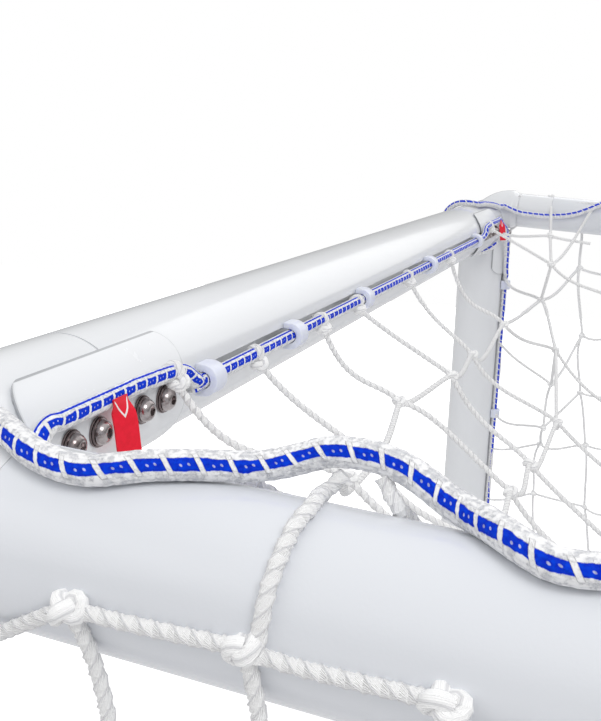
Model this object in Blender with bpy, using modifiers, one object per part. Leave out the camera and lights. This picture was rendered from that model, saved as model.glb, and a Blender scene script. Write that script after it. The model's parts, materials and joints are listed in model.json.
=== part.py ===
"""Small-sided football goal with a round aluminium frame, a rope-edged net and sliding net clips.

The front frame is a 4 inch extrusion with a T-shaped channel along its rear side. Welded corner units
carry the bent elbows of the top side bars. Saddle plates outside and splice bars inside the channel
clamp the corner units to the crossbar and the posts. Net clips straddle the channel and hold the edge
rope of the net. The mouth faces -Y, +X runs along the crossbar and +Z is up. All sizes are in metres.
"""

import math

import bmesh
import bpy
from mathutils import Matrix, Vector

# Overall size
MOUTH_WIDTH = 1.829
MOUTH_HEIGHT = 1.219
TOTAL_DEPTH = 1.219
TOP_DEPTH = 0.610

# Front frame extrusion and its net channel
FRAME_RADIUS = 0.0508
FRAME_WALL = 0.003
CHANNEL_MOUTH = 0.016
CHANNEL_WIDTH = 0.024
CHANNEL_LIP = 0.003
CHANNEL_DEPTH = 0.009
CHANNEL_WALL = 0.0025

# Side bars, back stays and ground bars
BAR_RADIUS = 0.037
BAR_WALL = 0.003
BAR_RISE = 0.036
BAR_SLOPE = 0.0444
TOP_BEND_RADIUS = 0.150
BALL_RADIUS = 0.0395
STUB_LENGTH = 0.110
SPIGOT_LENGTH = 0.080

# Welded corner units
CORNER_REACH = 0.249
POST_SEAM_DROP = 0.056
ELBOW_RADIUS = 0.0425
ELBOW_BEND_RADIUS = 0.060
ELBOW_FOOT = 0.034
LEG_REACH = 0.150

# Saddle plates, splice bars and their screws
SADDLE_THICKNESS = 0.003
SADDLE_HALF_ANGLE = math.radians(55)
SADDLE_CORNER = 0.018
CROSSBAR_SADDLE_LENGTH = 0.193
CROSSBAR_SADDLE_CENTRE = 0.234
CROSSBAR_SCREWS = (-0.059, -0.028, 0.028, 0.059)
POST_SADDLE_LENGTH = 0.098
POST_SADDLE_CENTRE = 0.063
POST_SCREWS = (0.042, 0.020, -0.003, -0.025)
SPLICE_THICKNESS = 0.006
SCREW_RADIUS = 0.004
SCREW_HOLE_RADIUS = 0.0046
SCREW_TIP = 0.001
HEAD_RADIUS = 0.0084
HEAD_HEIGHT = 0.006
WASHER_RADIUS = 0.0104
WASHER_THICKNESS = 0.0032
SOCKET_RADIUS = 0.0032
SOCKET_DEPTH = 0.0033

# Net clips
CLIP_WALL = 0.0062
CLIP_LENGTH = 0.020
CLIP_PRONG = 0.0022
CLIP_HOOK = 0.0035
CLIP_HOOK_THICKNESS = 0.002
CROSSBAR_CLIPS = (0.361, 0.549, 0.782, 1.128, 1.515)
POST_CLIPS = (0.139, 0.447, 0.762, 1.077)

# Net, ropes and ribbons
ROPE_RADIUS = 0.006
ROPE_PITCH = 0.045
MESH_SIZE = 0.190
TWINE = 0.004
FALL_START = 0.004
FALL_RUN = 0.500
FALL_SLOPE = 0.80
ROOF_TILT = math.radians(30)
NET_SLACK = 0.010
BEND_ROWS = 2
SIDE_COLUMNS = 6
CLIP_ROOM = 0.019
SEAM_ROPE_ANGLE = 24
SADDLE_ROPE_ANGLE = 71
RIBBON_WIDTH = 0.017
RIBBON_THICKNESS = 0.0012
RIBBON_DROP = 0.040
RIBBON_FLARE = 0.003
RIBBON_PLACES = {"right": 0.217, "left": 0.172}

# Foot plates
FOOT_THICKNESS = 0.005
PLUG_HEIGHT = 0.018
PLUG_RADIUS = 0.033

# Clearances between touching pieces
SEAT_GAP = 0.0003
ROPE_GAP = 0.0005

# Places that follow from the sizes above
HALF_SPAN = MOUTH_WIDTH / 2 + FRAME_RADIUS
AXIS_Z = MOUTH_HEIGHT + FRAME_RADIUS
ROPE_PROUD = 2 * (ROPE_RADIUS + ROPE_GAP)
POST_Y = FRAME_RADIUS + (ROPE_PROUD - TOTAL_DEPTH) / 2
REAR_Y = (ROPE_PROUD + TOTAL_DEPTH) / 2 - BALL_RADIUS
GROUND_Z = BALL_RADIUS
BAR_BORE = BAR_RADIUS - BAR_WALL
SPIGOT_RADIUS = BAR_BORE - SEAT_GAP
ROPE_SEAT = ROPE_RADIUS + ROPE_GAP
SADDLE_TOP = FRAME_RADIUS + SEAT_GAP + SADDLE_THICKNESS
ROPE_OVER_SADDLE = SADDLE_TOP + ROPE_SEAT
CHANNEL_FLOOR = FRAME_RADIUS - CHANNEL_LIP - CHANNEL_DEPTH
SPLICE_TOP = FRAME_RADIUS - CHANNEL_LIP - SEAT_GAP
SCREW_LENGTH = SADDLE_TOP + SEAT_GAP - SPLICE_TOP + SPLICE_THICKNESS + SCREW_TIP
ALONG_X = Matrix.Rotation(math.pi / 2, 4, "Y")
FACING_REAR = Matrix.Rotation(-math.pi / 2, 4, "X")
SIDES = {"left": -1, "right": 1}

CIRCLE_STEPS = 24
ARC_STEPS = 6
BEND_STEPS = 9
SADDLE_STEPS = math.ceil(SADDLE_HALF_ANGLE / math.acos(1 - SEAT_GAP / (FRAME_RADIUS + SEAT_GAP)))
SCREW_STEPS = 9
HOLE_STEPS = 8

MODEL_NAME = "small_sided_goal"
CUTTER_COLLECTION = "goal_cutters"


def clear_scene():
    """Remove every object, so that the model starts from an empty scene."""
    for item in list(bpy.data.objects):
        bpy.data.objects.remove(item, do_unlink=True)


def new_collection(name):
    """Make a collection of this name under the scene."""
    collection = bpy.data.collections.new(name)
    bpy.context.scene.collection.children.link(collection)
    return collection


def make_material(name, colour, roughness, metallic=0.0):
    """Make a Principled material from a colour, a roughness and a metallic value."""
    material = bpy.data.materials.new(name)
    material.use_nodes = True
    shader = material.node_tree.nodes["Principled BSDF"]
    shader.inputs["Base Color"].default_value = (*colour, 1.0)
    shader.inputs["Roughness"].default_value = roughness
    shader.inputs["Metallic"].default_value = metallic
    return material


class Workshop:
    """Holds the two collections and the finishes that every piece uses."""

    def __init__(self):
        self.parts = new_collection(MODEL_NAME)
        self.cutters = new_collection(CUTTER_COLLECTION)
        self.finishes = {
            "powder_coat": ((0.90, 0.91, 0.92), 0.25, 0.0),
            "plate_coat": ((0.90, 0.91, 0.92), 0.35, 0.0),
            "stainless": ((0.60, 0.58, 0.57), 0.22, 1.0),
            "splice_metal": ((0.70, 0.71, 0.72), 0.40, 1.0),
            "clip_nylon": ((0.88, 0.90, 0.97), 0.35, 0.0),
            "foot_rubber": ((0.05, 0.05, 0.05), 0.80, 0.0),
            "net_twine": ((0.88, 0.88, 0.88), 0.85, 0.0),
            "edge_rope": ((0.80, 0.82, 0.90), 0.80, 0.0),
            "ribbon_weave": ((0.85, 0.03, 0.06), 0.70, 0.0),
        }

    def add_part(self, name, mesh, finish, place=None):
        """Put a finished mesh into the model under a node name, with its own material."""
        part = bpy.data.objects.new(name, mesh)
        colour, roughness, metallic = self.finishes[finish]
        self.parts.objects.link(part)
        if not mesh.materials:
            mesh.materials.append(None)
        part.material_slots[0].link = "OBJECT"
        part.material_slots[0].material = make_material(name, colour, roughness, metallic)
        mesh.shade_smooth()
        mesh.set_sharp_from_angle(angle=math.radians(35))
        part.matrix_world = place or Matrix()
        return part

    def combine(self, part, mesh, operation, solver="EXACT"):
        """Join a tool shape to a part, or cut it away, with a live Boolean modifier."""
        tool = bpy.data.objects.new(f"{part.name}_{operation.lower()}_{len(part.modifiers)}", mesh)
        self.cutters.objects.link(tool)
        tool.hide_render = True
        tool.display_type = "WIRE"
        modifier = part.modifiers.new(tool.name, "BOOLEAN")
        modifier.operation = operation
        modifier.solver = solver
        modifier.object = tool

    def settle(self, part):
        """Return the part's mesh with its modifiers applied, for copies to share."""
        bpy.context.view_layer.update()
        graph = bpy.context.evaluated_depsgraph_get()
        mesh = bpy.data.meshes.new_from_object(part.evaluated_get(graph))
        mesh.name = part.name
        bpy.data.objects.remove(part, do_unlink=True)
        return mesh


def mesh_from(bm, name):
    """Turn a bmesh into a mesh with its faces pointing out."""
    bmesh.ops.recalc_face_normals(bm, faces=bm.faces)
    mesh = bpy.data.meshes.new(name)
    bm.to_mesh(mesh)
    bm.free()
    return mesh


def arc(radius, start, end, steps, centre=(0.0, 0.0)):
    """Points on a circular arc from one angle to another, in radians."""
    points = []
    for index in range(steps + 1):
        angle = start + (end - start) * index / steps
        points.append((centre[0] + radius * math.cos(angle), centre[1] + radius * math.sin(angle)))
    return points


def circle(radius, steps=CIRCLE_STEPS):
    """A closed ring of points."""
    return arc(radius, 0.0, math.tau * (steps - 1) / steps, steps - 1)


def swept_section(name, loops, path, across):
    """Sweep a flat section along a plane path, with true mitres at its corners.

    The first loop is the outline and the others are hollows. A loop's second coordinate runs along
    the fixed direction across, and its first one lies in the plane of the path.
    """
    across = Vector(across)
    path = [Vector(point) for point in path]
    normals = [across.cross((b - a).normalized()) for a, b in zip(path, path[1:])]
    bm = bmesh.new()
    ends = [[], []]
    for loop in loops:
        rings = []
        for index, point in enumerate(path):
            before = normals[max(index - 1, 0)]
            after = normals[min(index, len(normals) - 1)]
            mitre = (before + after) / (1 + before.dot(after))
            rings.append([bm.verts.new(point + mitre * u + across * v) for u, v in loop])
        for low, high in zip(rings, rings[1:]):
            for index in range(len(loop)):
                following = (index + 1) % len(loop)
                bm.faces.new((low[index], low[following], high[following], high[index]))
        for end, ring in zip(ends, (rings[0], rings[-1])):
            end += [bm.edges.get((ring[i], ring[(i + 1) % len(ring)])) for i in range(len(ring))]
    for end in ends:
        bmesh.ops.triangle_fill(bm, use_beauty=True, edges=end)
    return mesh_from(bm, name)


def rod(name, radius, start, end, steps=CIRCLE_STEPS):
    """A solid cylinder between two points."""
    start = Vector(start)
    end = Vector(end)
    bm = bmesh.new()
    bmesh.ops.create_cone(
        bm, cap_ends=True, segments=steps, radius1=radius, radius2=radius, depth=(end - start).length
    )
    turn = (end - start).to_track_quat("Z", "Y").to_matrix().to_4x4()
    bmesh.ops.transform(bm, matrix=Matrix.Translation((start + end) / 2) @ turn, verts=bm.verts)
    return mesh_from(bm, name)


def ball(name, radius, centre):
    """A solid sphere."""
    bm = bmesh.new()
    bmesh.ops.create_uvsphere(bm, u_segments=20, v_segments=10, radius=radius)
    bmesh.ops.translate(bm, vec=centre, verts=bm.verts)
    return mesh_from(bm, name)


def turned(workshop, name, profile, steps):
    """Turn a profile of radius and height about the local Z axis with a Screw modifier."""
    bm = bmesh.new()
    verts = [bm.verts.new((radius, 0.0, height)) for radius, height in profile]
    for a, b in zip(verts, verts[1:]):
        bm.edges.new((a, b))
    mesh = bpy.data.meshes.new(name)
    bm.to_mesh(mesh)
    bm.free()
    part = bpy.data.objects.new(name, mesh)
    workshop.cutters.objects.link(part)
    screw = part.modifiers.new("turn", "SCREW")
    screw.steps = steps
    screw.render_steps = steps
    screw.use_merge_vertices = True
    screw.merge_threshold = 0.00001
    return part


def filleted(points, radius, steps=ARC_STEPS):
    """Round the inner corners of a path with arcs of one radius."""
    points = [Vector(point) for point in points]
    path = [points[0]]
    for before, corner, after in zip(points, points[1:], points[2:]):
        inward = (before - corner).normalized()
        outward = (after - corner).normalized()
        half = inward.angle(outward) / 2
        middle = corner + (inward + outward).normalized() * radius / math.sin(half)
        start = corner + inward * radius / math.tan(half) - middle
        end = corner + outward * radius / math.tan(half) - middle
        for index in range(steps + 1):
            path.append(middle + start.slerp(end, index / steps) * radius)
    path.append(points[-1])
    return path


def smooth_route(points, pitch):
    """Read evenly spaced points from a smooth curve through the route's own points."""
    points = [Vector(point) for point in points]
    padded = [2 * points[0] - points[1], *points, 2 * points[-1] - points[-2]]
    route = [points[0]]
    for p0, p1, p2, p3 in zip(padded, padded[1:], padded[2:], padded[3:]):
        steps = max(1, round((p2 - p1).length / pitch))
        for index in range(1, steps + 1):
            t = index / steps
            route.append(
                0.5
                * (
                    2 * p1
                    + (p2 - p0) * t
                    + (2 * p0 - 5 * p1 + 4 * p2 - p3) * t**2
                    + (3 * p1 - p0 - 3 * p2 + p3) * t**3
                )
            )
    return route


def frame_section():
    """Outline and hollow of the front frame extrusion, with its channel towards +v."""
    half_mouth = CHANNEL_MOUTH / 2
    half_width = CHANNEL_WIDTH / 2
    lip = FRAME_RADIUS - CHANNEL_LIP
    opening = math.asin(half_mouth / FRAME_RADIUS)
    outline = arc(FRAME_RADIUS, math.pi / 2 - opening, opening - 3 * math.pi / 2, CIRCLE_STEPS + 8)
    outline += [(-half_mouth, lip), (-half_width, lip), (-half_width, CHANNEL_FLOOR)]
    outline += [(half_width, CHANNEL_FLOOR), (half_width, lip), (half_mouth, lip)]
    inner = FRAME_RADIUS - FRAME_WALL
    half_box = half_width + CHANNEL_WALL
    box = math.asin(half_box / inner)
    hollow = arc(inner, math.pi / 2 - box, box - 3 * math.pi / 2, CIRCLE_STEPS)
    hollow += [(-half_box, CHANNEL_FLOOR - CHANNEL_WALL), (half_box, CHANNEL_FLOOR - CHANNEL_WALL)]
    return [outline, hollow]


def tube_section(radius=BAR_RADIUS, wall=BAR_WALL):
    """Outline and bore of a round tube."""
    return [circle(radius), circle(radius - wall)]


def bar_axis(side, depth):
    """A point on the axis of a top side bar, at a depth behind the post axis."""
    return Vector((side * HALF_SPAN, POST_Y + depth, AXIS_Z + BAR_RISE - BAR_SLOPE * depth))


def rear_corner(side):
    """The point where a back stay, a base bar and the rear ground bar meet."""
    return Vector((side * HALF_SPAN, REAR_Y, GROUND_Z))


def stay_direction(side):
    """Unit direction from the top rear bend down the back stay."""
    return (rear_corner(side) - bar_axis(side, TOP_DEPTH)).normalized()


def build_crossbar(workshop):
    """The middle length of the crossbar, between the two corner units."""
    reach = HALF_SPAN - CORNER_REACH - SEAT_GAP
    path = [(-reach, POST_Y, AXIS_Z), (reach, POST_Y, AXIS_Z)]
    mesh = swept_section("crossbar", frame_section(), path, (0, 1, 0))
    workshop.add_part("crossbar", mesh, "powder_coat")


def build_post(workshop, name, side):
    """A post with the spigot that its base bar slides onto."""
    bottom = FOOT_THICKNESS + SEAT_GAP
    top = AXIS_Z - POST_SEAM_DROP - SEAT_GAP
    x = side * HALF_SPAN
    path = [(x, POST_Y, bottom), (x, POST_Y, top)]
    mesh = swept_section(f"post_{name}", frame_section(), path, (0, 1, 0))
    post = workshop.add_part(f"post_{name}", mesh, "powder_coat")
    start = POST_Y + CHANNEL_FLOOR
    end = POST_Y + FRAME_RADIUS + SPIGOT_LENGTH
    spigot = rod("spigot", SPIGOT_RADIUS, (x, start, GROUND_Z), (x, end, GROUND_Z))
    workshop.combine(post, spigot, "UNION")


def build_corner(workshop, name, side):
    """A welded corner unit: mitred frame tube, elbow, leg and the spigot for the side bar."""
    x = side * HALF_SPAN
    path = [
        (x - side * CORNER_REACH, POST_Y, AXIS_Z),
        (x, POST_Y, AXIS_Z),
        (x, POST_Y, AXIS_Z - POST_SEAM_DROP),
    ]
    mesh = swept_section(f"corner_{name}", frame_section(), path, (0, 1, 0))
    corner = workshop.add_part(f"corner_{name}", mesh, "powder_coat")
    along = (bar_axis(side, 1.0) - bar_axis(side, 0.0)).normalized()
    crossing = bar_axis(side, 0.0)
    foot = Vector((x, POST_Y, AXIS_Z - ELBOW_FOOT))
    tangent = ELBOW_BEND_RADIUS * math.tan((math.pi / 2 + math.atan(BAR_SLOPE)) / 2)
    elbow_end = crossing + along * (tangent + SEAT_GAP)
    leg_end = bar_axis(side, LEG_REACH)
    elbow_path = filleted([foot, crossing, elbow_end], ELBOW_BEND_RADIUS)
    elbow = swept_section("elbow", [circle(ELBOW_RADIUS)], elbow_path, (1, 0, 0))
    workshop.combine(corner, clear_of_channel(workshop, elbow, x), "UNION")
    leg = rod("leg", BAR_RADIUS, elbow_end - along * BAR_RADIUS, leg_end)
    workshop.combine(corner, leg, "UNION")
    spigot_end = leg_end + along * SPIGOT_LENGTH
    spigot = rod("spigot", SPIGOT_RADIUS, leg_end - along * BAR_RADIUS, spigot_end)
    workshop.combine(corner, spigot, "UNION")
    bore = rod("bore", SPIGOT_RADIUS - BAR_WALL, elbow_end, spigot_end + along * BAR_WALL)
    workshop.combine(corner, bore, "DIFFERENCE")


def clear_of_channel(workshop, elbow, x):
    """Notch the elbow so that it leaves the post's channel open for the splice bar."""
    blank = bpy.data.objects.new("elbow", elbow)
    workshop.cutters.objects.link(blank)
    half = CHANNEL_WIDTH / 2 + CHANNEL_WALL / 2
    floor = CHANNEL_FLOOR - CHANNEL_WALL / 2
    notch = [(-half, floor), (half, floor), (half, 2 * FRAME_RADIUS), (-half, 2 * FRAME_RADIUS)]
    top = AXIS_Z - POST_SADDLE_CENTRE + POST_SADDLE_LENGTH / 2 + SEAT_GAP
    path = [(x, POST_Y, AXIS_Z - 2 * POST_SEAM_DROP), (x, POST_Y, top)]
    workshop.combine(blank, swept_section("notch", [notch], path, (0, 1, 0)), "DIFFERENCE")
    return workshop.settle(blank)


def build_side_bar(workshop, name, side):
    """A top side bar and back stay, bent from one tube."""
    corner = rear_corner(side)
    down = stay_direction(side)
    along = (bar_axis(side, 1.0) - bar_axis(side, 0.0)).normalized()
    start = bar_axis(side, LEG_REACH) + along * SEAT_GAP
    end = corner - down * (STUB_LENGTH + SEAT_GAP)
    path = filleted([start, bar_axis(side, TOP_DEPTH), end], TOP_BEND_RADIUS)
    mesh = swept_section(f"side_bar_{name}", tube_section(), path, (1, 0, 0))
    workshop.add_part(f"side_bar_{name}", mesh, "powder_coat")


def build_base_bar(workshop, name, side):
    """A base bar with the rear corner ball and the stubs for the stay and the rear bar."""
    corner = rear_corner(side)
    front = Vector((corner.x, POST_Y + FRAME_RADIUS + SEAT_GAP, GROUND_Z))
    mesh = rod(f"base_bar_{name}", BAR_RADIUS, front, corner)
    bar = workshop.add_part(f"base_bar_{name}", mesh, "powder_coat")
    up = -stay_direction(side)
    inward = Vector((-side, 0, 0))
    workshop.combine(bar, ball("ball", BALL_RADIUS, corner), "UNION", "MANIFOLD")
    for stub in (up, inward):
        end = corner + stub * STUB_LENGTH
        workshop.combine(bar, rod("stub", BAR_RADIUS, corner, end), "UNION", "MANIFOLD")
        root = corner + stub * (STUB_LENGTH - SPIGOT_LENGTH)
        spigot = rod("spigot", SPIGOT_RADIUS, root, corner + stub * (STUB_LENGTH + SPIGOT_LENGTH))
        workshop.combine(bar, spigot, "UNION", "MANIFOLD")
    bore_end = corner - Vector((0, BAR_RADIUS + BALL_RADIUS, 0))
    bore = rod("bore", BAR_BORE, front - Vector((0, BAR_WALL, 0)), bore_end)
    workshop.combine(bar, bore, "DIFFERENCE", "MANIFOLD")


def build_rear_bar(workshop):
    """The rear ground bar between the two base bars."""
    reach = HALF_SPAN - STUB_LENGTH - SEAT_GAP
    path = [(-reach, REAR_Y, GROUND_Z), (reach, REAR_Y, GROUND_Z)]
    mesh = swept_section("rear_ground_bar", tube_section(), path, (0, 1, 0))
    workshop.add_part("rear_ground_bar", mesh, "powder_coat")


def build_feet(workshop):
    """Rubber foot plates with plugs that fit inside the posts."""
    plug_top = FOOT_THICKNESS + PLUG_HEIGHT
    profile = [(0.0, plug_top), (PLUG_RADIUS, plug_top), (PLUG_RADIUS, FOOT_THICKNESS)]
    profile += [(FRAME_RADIUS, FOOT_THICKNESS), (FRAME_RADIUS, 0.0), (0.0, 0.0)]
    mesh = workshop.settle(turned(workshop, "foot", profile, CIRCLE_STEPS + 8))
    for name, side in SIDES.items():
        place = Matrix.Translation((side * HALF_SPAN, POST_Y, 0.0))
        workshop.add_part(f"foot_{name}", mesh.copy(), "foot_rubber", place)


def saddle_mesh(workshop, name, length, screws, coped_above):
    """A saddle plate bent round the rear of the frame tube, with rounded corners and screw holes.

    A post's saddle is coped where it runs up behind the crossbar.
    """
    inner = FRAME_RADIUS + SEAT_GAP
    low = math.pi / 2 - SADDLE_HALF_ANGLE
    high = math.pi / 2 + SADDLE_HALF_ANGLE
    section = arc(SADDLE_TOP, low, high, SADDLE_STEPS) + arc(inner, high, low, SADDLE_STEPS)
    path = [(0, 0, -length / 2), (0, 0, length / 2)]
    plate = workshop.add_part(name, swept_section(name, [section], path, (0, 1, 0)), "plate_coat")
    half_width = SADDLE_TOP * math.sin(SADDLE_HALF_ANGLE) - 0.0005
    side = half_width - SADDLE_CORNER
    end = length / 2 - SADDLE_CORNER
    window = []
    for quarter, (u, w) in enumerate(((side, end), (-side, end), (-side, -end), (side, -end))):
        start = quarter * math.pi / 2
        window += arc(SADDLE_CORNER, start, start + math.pi / 2, 4, (u, w))
    outline = [(w, u) for u, w in window]
    blank = swept_section("window", [outline], [(0, 0, 0), (0, 2 * FRAME_RADIUS, 0)], (1, 0, 0))
    workshop.combine(plate, blank, "INTERSECT")
    for offset in screws:
        start = (0, FRAME_RADIUS / 2, offset)
        hole = rod("hole", SCREW_HOLE_RADIUS, start, (0, SADDLE_TOP * 2, offset), HOLE_STEPS)
        workshop.combine(plate, hole, "DIFFERENCE")
    if coped_above is not None:
        half = Vector((2 * FRAME_RADIUS, 0, 0))
        centre = Vector((0, 0, coped_above))
        cope = rod("cope", FRAME_RADIUS + SEAT_GAP, centre - half, centre + half, CIRCLE_STEPS + 8)
        workshop.combine(plate, cope, "DIFFERENCE")
    return workshop.settle(plate)


def splice_mesh(workshop, name, length, screws):
    """A splice bar that slides in the channel behind its lips, with a hole for each screw."""
    half = CHANNEL_WIDTH / 2 - SEAT_GAP
    bm = bmesh.new()
    bmesh.ops.create_cube(bm, size=1.0)
    bmesh.ops.scale(bm, vec=(2 * half, SPLICE_THICKNESS, length), verts=bm.verts)
    bmesh.ops.translate(bm, vec=(0, SPLICE_TOP - SPLICE_THICKNESS / 2, 0), verts=bm.verts)
    bar = workshop.add_part(name, mesh_from(bm, name), "splice_metal")
    for offset in screws:
        hole = rod("hole", SCREW_HOLE_RADIUS, (0, 0, offset), (0, FRAME_RADIUS, offset), HOLE_STEPS)
        workshop.combine(bar, hole, "DIFFERENCE")
    return workshop.settle(bar)


def screw_mesh(workshop):
    """A domed socket screw on its washer; the origin lies under the washer, on the plate."""
    seat = WASHER_THICKNESS
    profile = [(0.0, seat + HEAD_HEIGHT)]
    profile += [
        (HEAD_RADIUS * math.sin(angle), seat + HEAD_HEIGHT * (0.35 + 0.65 * math.cos(angle)))
        for angle in (0.6, 1.15, math.pi / 2)
    ]
    profile += [(HEAD_RADIUS, seat), (WASHER_RADIUS, seat), (WASHER_RADIUS, 0.0)]
    profile += [(SCREW_RADIUS, 0.0), (SCREW_RADIUS, -SCREW_LENGTH), (0.0, -SCREW_LENGTH)]
    screw = turned(workshop, "screw", profile, SCREW_STEPS)
    floor = seat + HEAD_HEIGHT - SOCKET_DEPTH
    socket = rod("socket", SOCKET_RADIUS, (0, 0, floor), (0, 0, floor + HEAD_HEIGHT), 6)
    workshop.combine(screw, socket, "DIFFERENCE")
    return workshop.settle(screw)


def build_splices(workshop):
    """Saddle plates, splice bars and screws at the seams of the crossbar and the posts."""
    screw = screw_mesh(workshop)
    kinds = {
        "crossbar": (CROSSBAR_SADDLE_LENGTH, CROSSBAR_SCREWS, ALONG_X, None),
        "post": (POST_SADDLE_LENGTH, POST_SCREWS, Matrix(), POST_SADDLE_CENTRE),
    }
    for kind, (length, screws, turn, coped_above) in kinds.items():
        saddle = saddle_mesh(workshop, f"{kind}_saddle", length, screws, coped_above)
        splice = splice_mesh(workshop, f"{kind}_splice", length, screws)
        for name, side in SIDES.items():
            if kind == "crossbar":
                centre = Vector((side * (HALF_SPAN - CROSSBAR_SADDLE_CENTRE), POST_Y, AXIS_Z))
            else:
                centre = Vector((side * HALF_SPAN, POST_Y, AXIS_Z - POST_SADDLE_CENTRE))
            place = Matrix.Translation(centre) @ turn
            workshop.add_part(f"{kind}_saddle_{name}", saddle.copy(), "plate_coat", place)
            workshop.add_part(f"{kind}_splice_bar_{name}", splice.copy(), "splice_metal", place)
            for number, offset in enumerate(screws, start=1):
                seat = place @ Matrix.Translation((0, SADDLE_TOP + SEAT_GAP, offset)) @ FACING_REAR
                workshop.add_part(f"{kind}_screw_{name}_{number}", screw.copy(), "stainless", seat)


def clip_mesh():
    """A net clip: a C that arches over the rope, with two hooked prongs behind the channel lips."""
    bore = ROPE_SEAT + SEAT_GAP
    outer = bore + CLIP_WALL
    shoulder = SEAT_GAP - ROPE_SEAT
    prong = CHANNEL_MOUTH / 2 - SEAT_GAP
    hook_top = -ROPE_SEAT - CHANNEL_LIP - SEAT_GAP
    hook_low = hook_top - CLIP_HOOK_THICKNESS
    half = arc(outer, math.pi / 2, 0.0, 7)
    half += [(outer, shoulder), (prong, shoulder), (prong, hook_top)]
    half += [(prong + CLIP_HOOK, hook_top), (prong + CLIP_HOOK, hook_low)]
    half += [(prong - CLIP_PRONG, hook_low), (prong - CLIP_PRONG, shoulder)]
    half += arc(bore, 0.0, math.pi / 2, 5)
    outline = half[1:-1] + [(0.0, bore)] + [(-u, v) for u, v in half[-2:0:-1]] + [(0.0, outer)]
    path = [(0, 0, -CLIP_LENGTH / 2), (0, 0, CLIP_LENGTH / 2)]
    return swept_section("clip", [outline], path, (0, 1, 0))


def build_clips(workshop):
    """Net clips in the crossbar's channel and in both posts' channels."""
    clip = clip_mesh()
    y = POST_Y + FRAME_RADIUS + ROPE_SEAT
    for number, distance in enumerate(CROSSBAR_CLIPS, start=1):
        place = Matrix.Translation((HALF_SPAN - distance, y, AXIS_Z)) @ ALONG_X
        workshop.add_part(f"crossbar_clip_{number}", clip.copy(), "clip_nylon", place)
    for name, side in SIDES.items():
        for number, drop in enumerate(POST_CLIPS, start=1):
            place = Matrix.Translation((side * HALF_SPAN, y, AXIS_Z - drop))
            workshop.add_part(f"post_clip_{name}_{number}", clip.copy(), "clip_nylon", place)


def net_panel(workshop, name, surface, columns, rows):
    """A net of square meshes laid over a surface, which maps two shares from 0 to 1 to a point."""
    bm = bmesh.new()
    bmesh.ops.create_grid(bm, x_segments=columns, y_segments=rows, size=0.5)
    for vert in bm.verts:
        vert.co = surface(vert.co.x + 0.5, vert.co.y + 0.5)
    mesh = mesh_from(bm, name)
    panel = workshop.add_part(name, mesh, "net_twine")
    wire = panel.modifiers.new("twine", "WIREFRAME")
    wire.thickness = TWINE
    wire.use_even_offset = False
    wire.use_boundary = True
    wire.use_replace = True
    return panel


def ease(share):
    """A smooth step from 0 to 1."""
    share = min(max(share, 0.0), 1.0)
    return share * share * (3 - 2 * share)


def build_nets(workshop):
    """The roof, back and side panels of the net."""
    columns = round(MOUTH_WIDTH / MESH_SIZE)
    reach = BAR_RADIUS + ROPE_GAP + TWINE / 2
    front_depth = FRAME_RADIUS + ROPE_SEAT + CLIP_ROOM
    along = (bar_axis(1, 1.0) - bar_axis(1, 0.0)).normalized()
    down = stay_direction(1)
    bend_turn = along.angle(down)
    bend_depth = TOP_DEPTH - TOP_BEND_RADIUS * math.tan(bend_turn / 2)
    upward = Vector((0, -along.z, along.y))
    bend_centre = bar_axis(1, bend_depth) - upward * TOP_BEND_RADIUS
    bend_spoke = upward * (TOP_BEND_RADIUS + reach)
    rearward = Vector((0, -down.z, down.y))
    stay_top = bend_centre + rearward * bend_spoke.length
    stay_low = rear_corner(1) + rearward * (reach + BALL_RADIUS - BAR_RADIUS) - down * ROPE_RADIUS
    rope_inset = (BAR_RADIUS + ROPE_SEAT) * math.sin(math.radians(SEAM_ROPE_ANGLE))
    rear_inset = rope_inset + ROPE_SEAT + TWINE / 2
    front_inset = (reach - ROPE_GAP) * math.cos(ROOF_TILT)
    front_lift = (reach - ROPE_GAP) * math.sin(ROOF_TILT)
    seam = 2 * TWINE
    roof_run = bend_depth - seam - front_depth
    bend_run = bend_turn * bend_spoke.length
    stay_run = (stay_low - stay_top).length
    stay_rows = round(stay_run / MESH_SIZE)
    rows = BEND_ROWS + stay_rows
    fall_front = Vector((0, POST_Y + front_depth, AXIS_Z - FALL_START))
    fall_knee = fall_front + Vector((0, FALL_RUN, -FALL_SLOPE * FALL_RUN))
    fall_foot = Vector((0, stay_low.y, stay_low.z))

    def hung(edge, across, run):
        """Lower a point of the edge line to where the unsupported net hangs between the side bars."""
        share = run / (roof_run + seam + bend_run + stay_run)
        middle = fall_front.lerp(fall_knee, share).lerp(fall_knee.lerp(fall_foot, share), share)
        hang = 1 - (2 * across - 1) ** 4
        point = edge.lerp(middle, hang)
        return Vector((edge.x * (2 * across - 1), point.y, point.z))

    def roof(across, back):
        depth = front_depth + roof_run * back
        lift = front_lift + (reach - front_lift) * back
        half = HALF_SPAN - front_inset - (rear_inset - front_inset) * back
        edge = Vector((half, POST_Y + depth, bar_axis(1, depth).z + lift))
        return hung(edge, across, roof_run * back)

    def back(across, drop):
        row = drop * rows
        if row < BEND_ROWS:
            turn = Matrix.Rotation(-bend_turn * row / BEND_ROWS, 3, "X")
            point = bend_centre + turn @ bend_spoke
            run = roof_run + seam + bend_run * row / BEND_ROWS
        else:
            share = (row - BEND_ROWS) / stay_rows
            point = stay_top.lerp(stay_low, share)
            run = roof_run + seam + bend_run + stay_run * share
        edge = Vector((HALF_SPAN - rear_inset, point.y, point.z))
        return hung(edge, across, run)

    net_panel(workshop, "net_roof", roof, columns, round(roof_run / MESH_SIZE))
    net_panel(workshop, "net_back", back, columns, rows)
    for name, side in SIDES.items():
        surface = side_net_surface(side, front_depth, reach)
        net_panel(workshop, f"net_{name}", surface, SIDE_COLUMNS, round(MOUTH_HEIGHT / MESH_SIZE))


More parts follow.
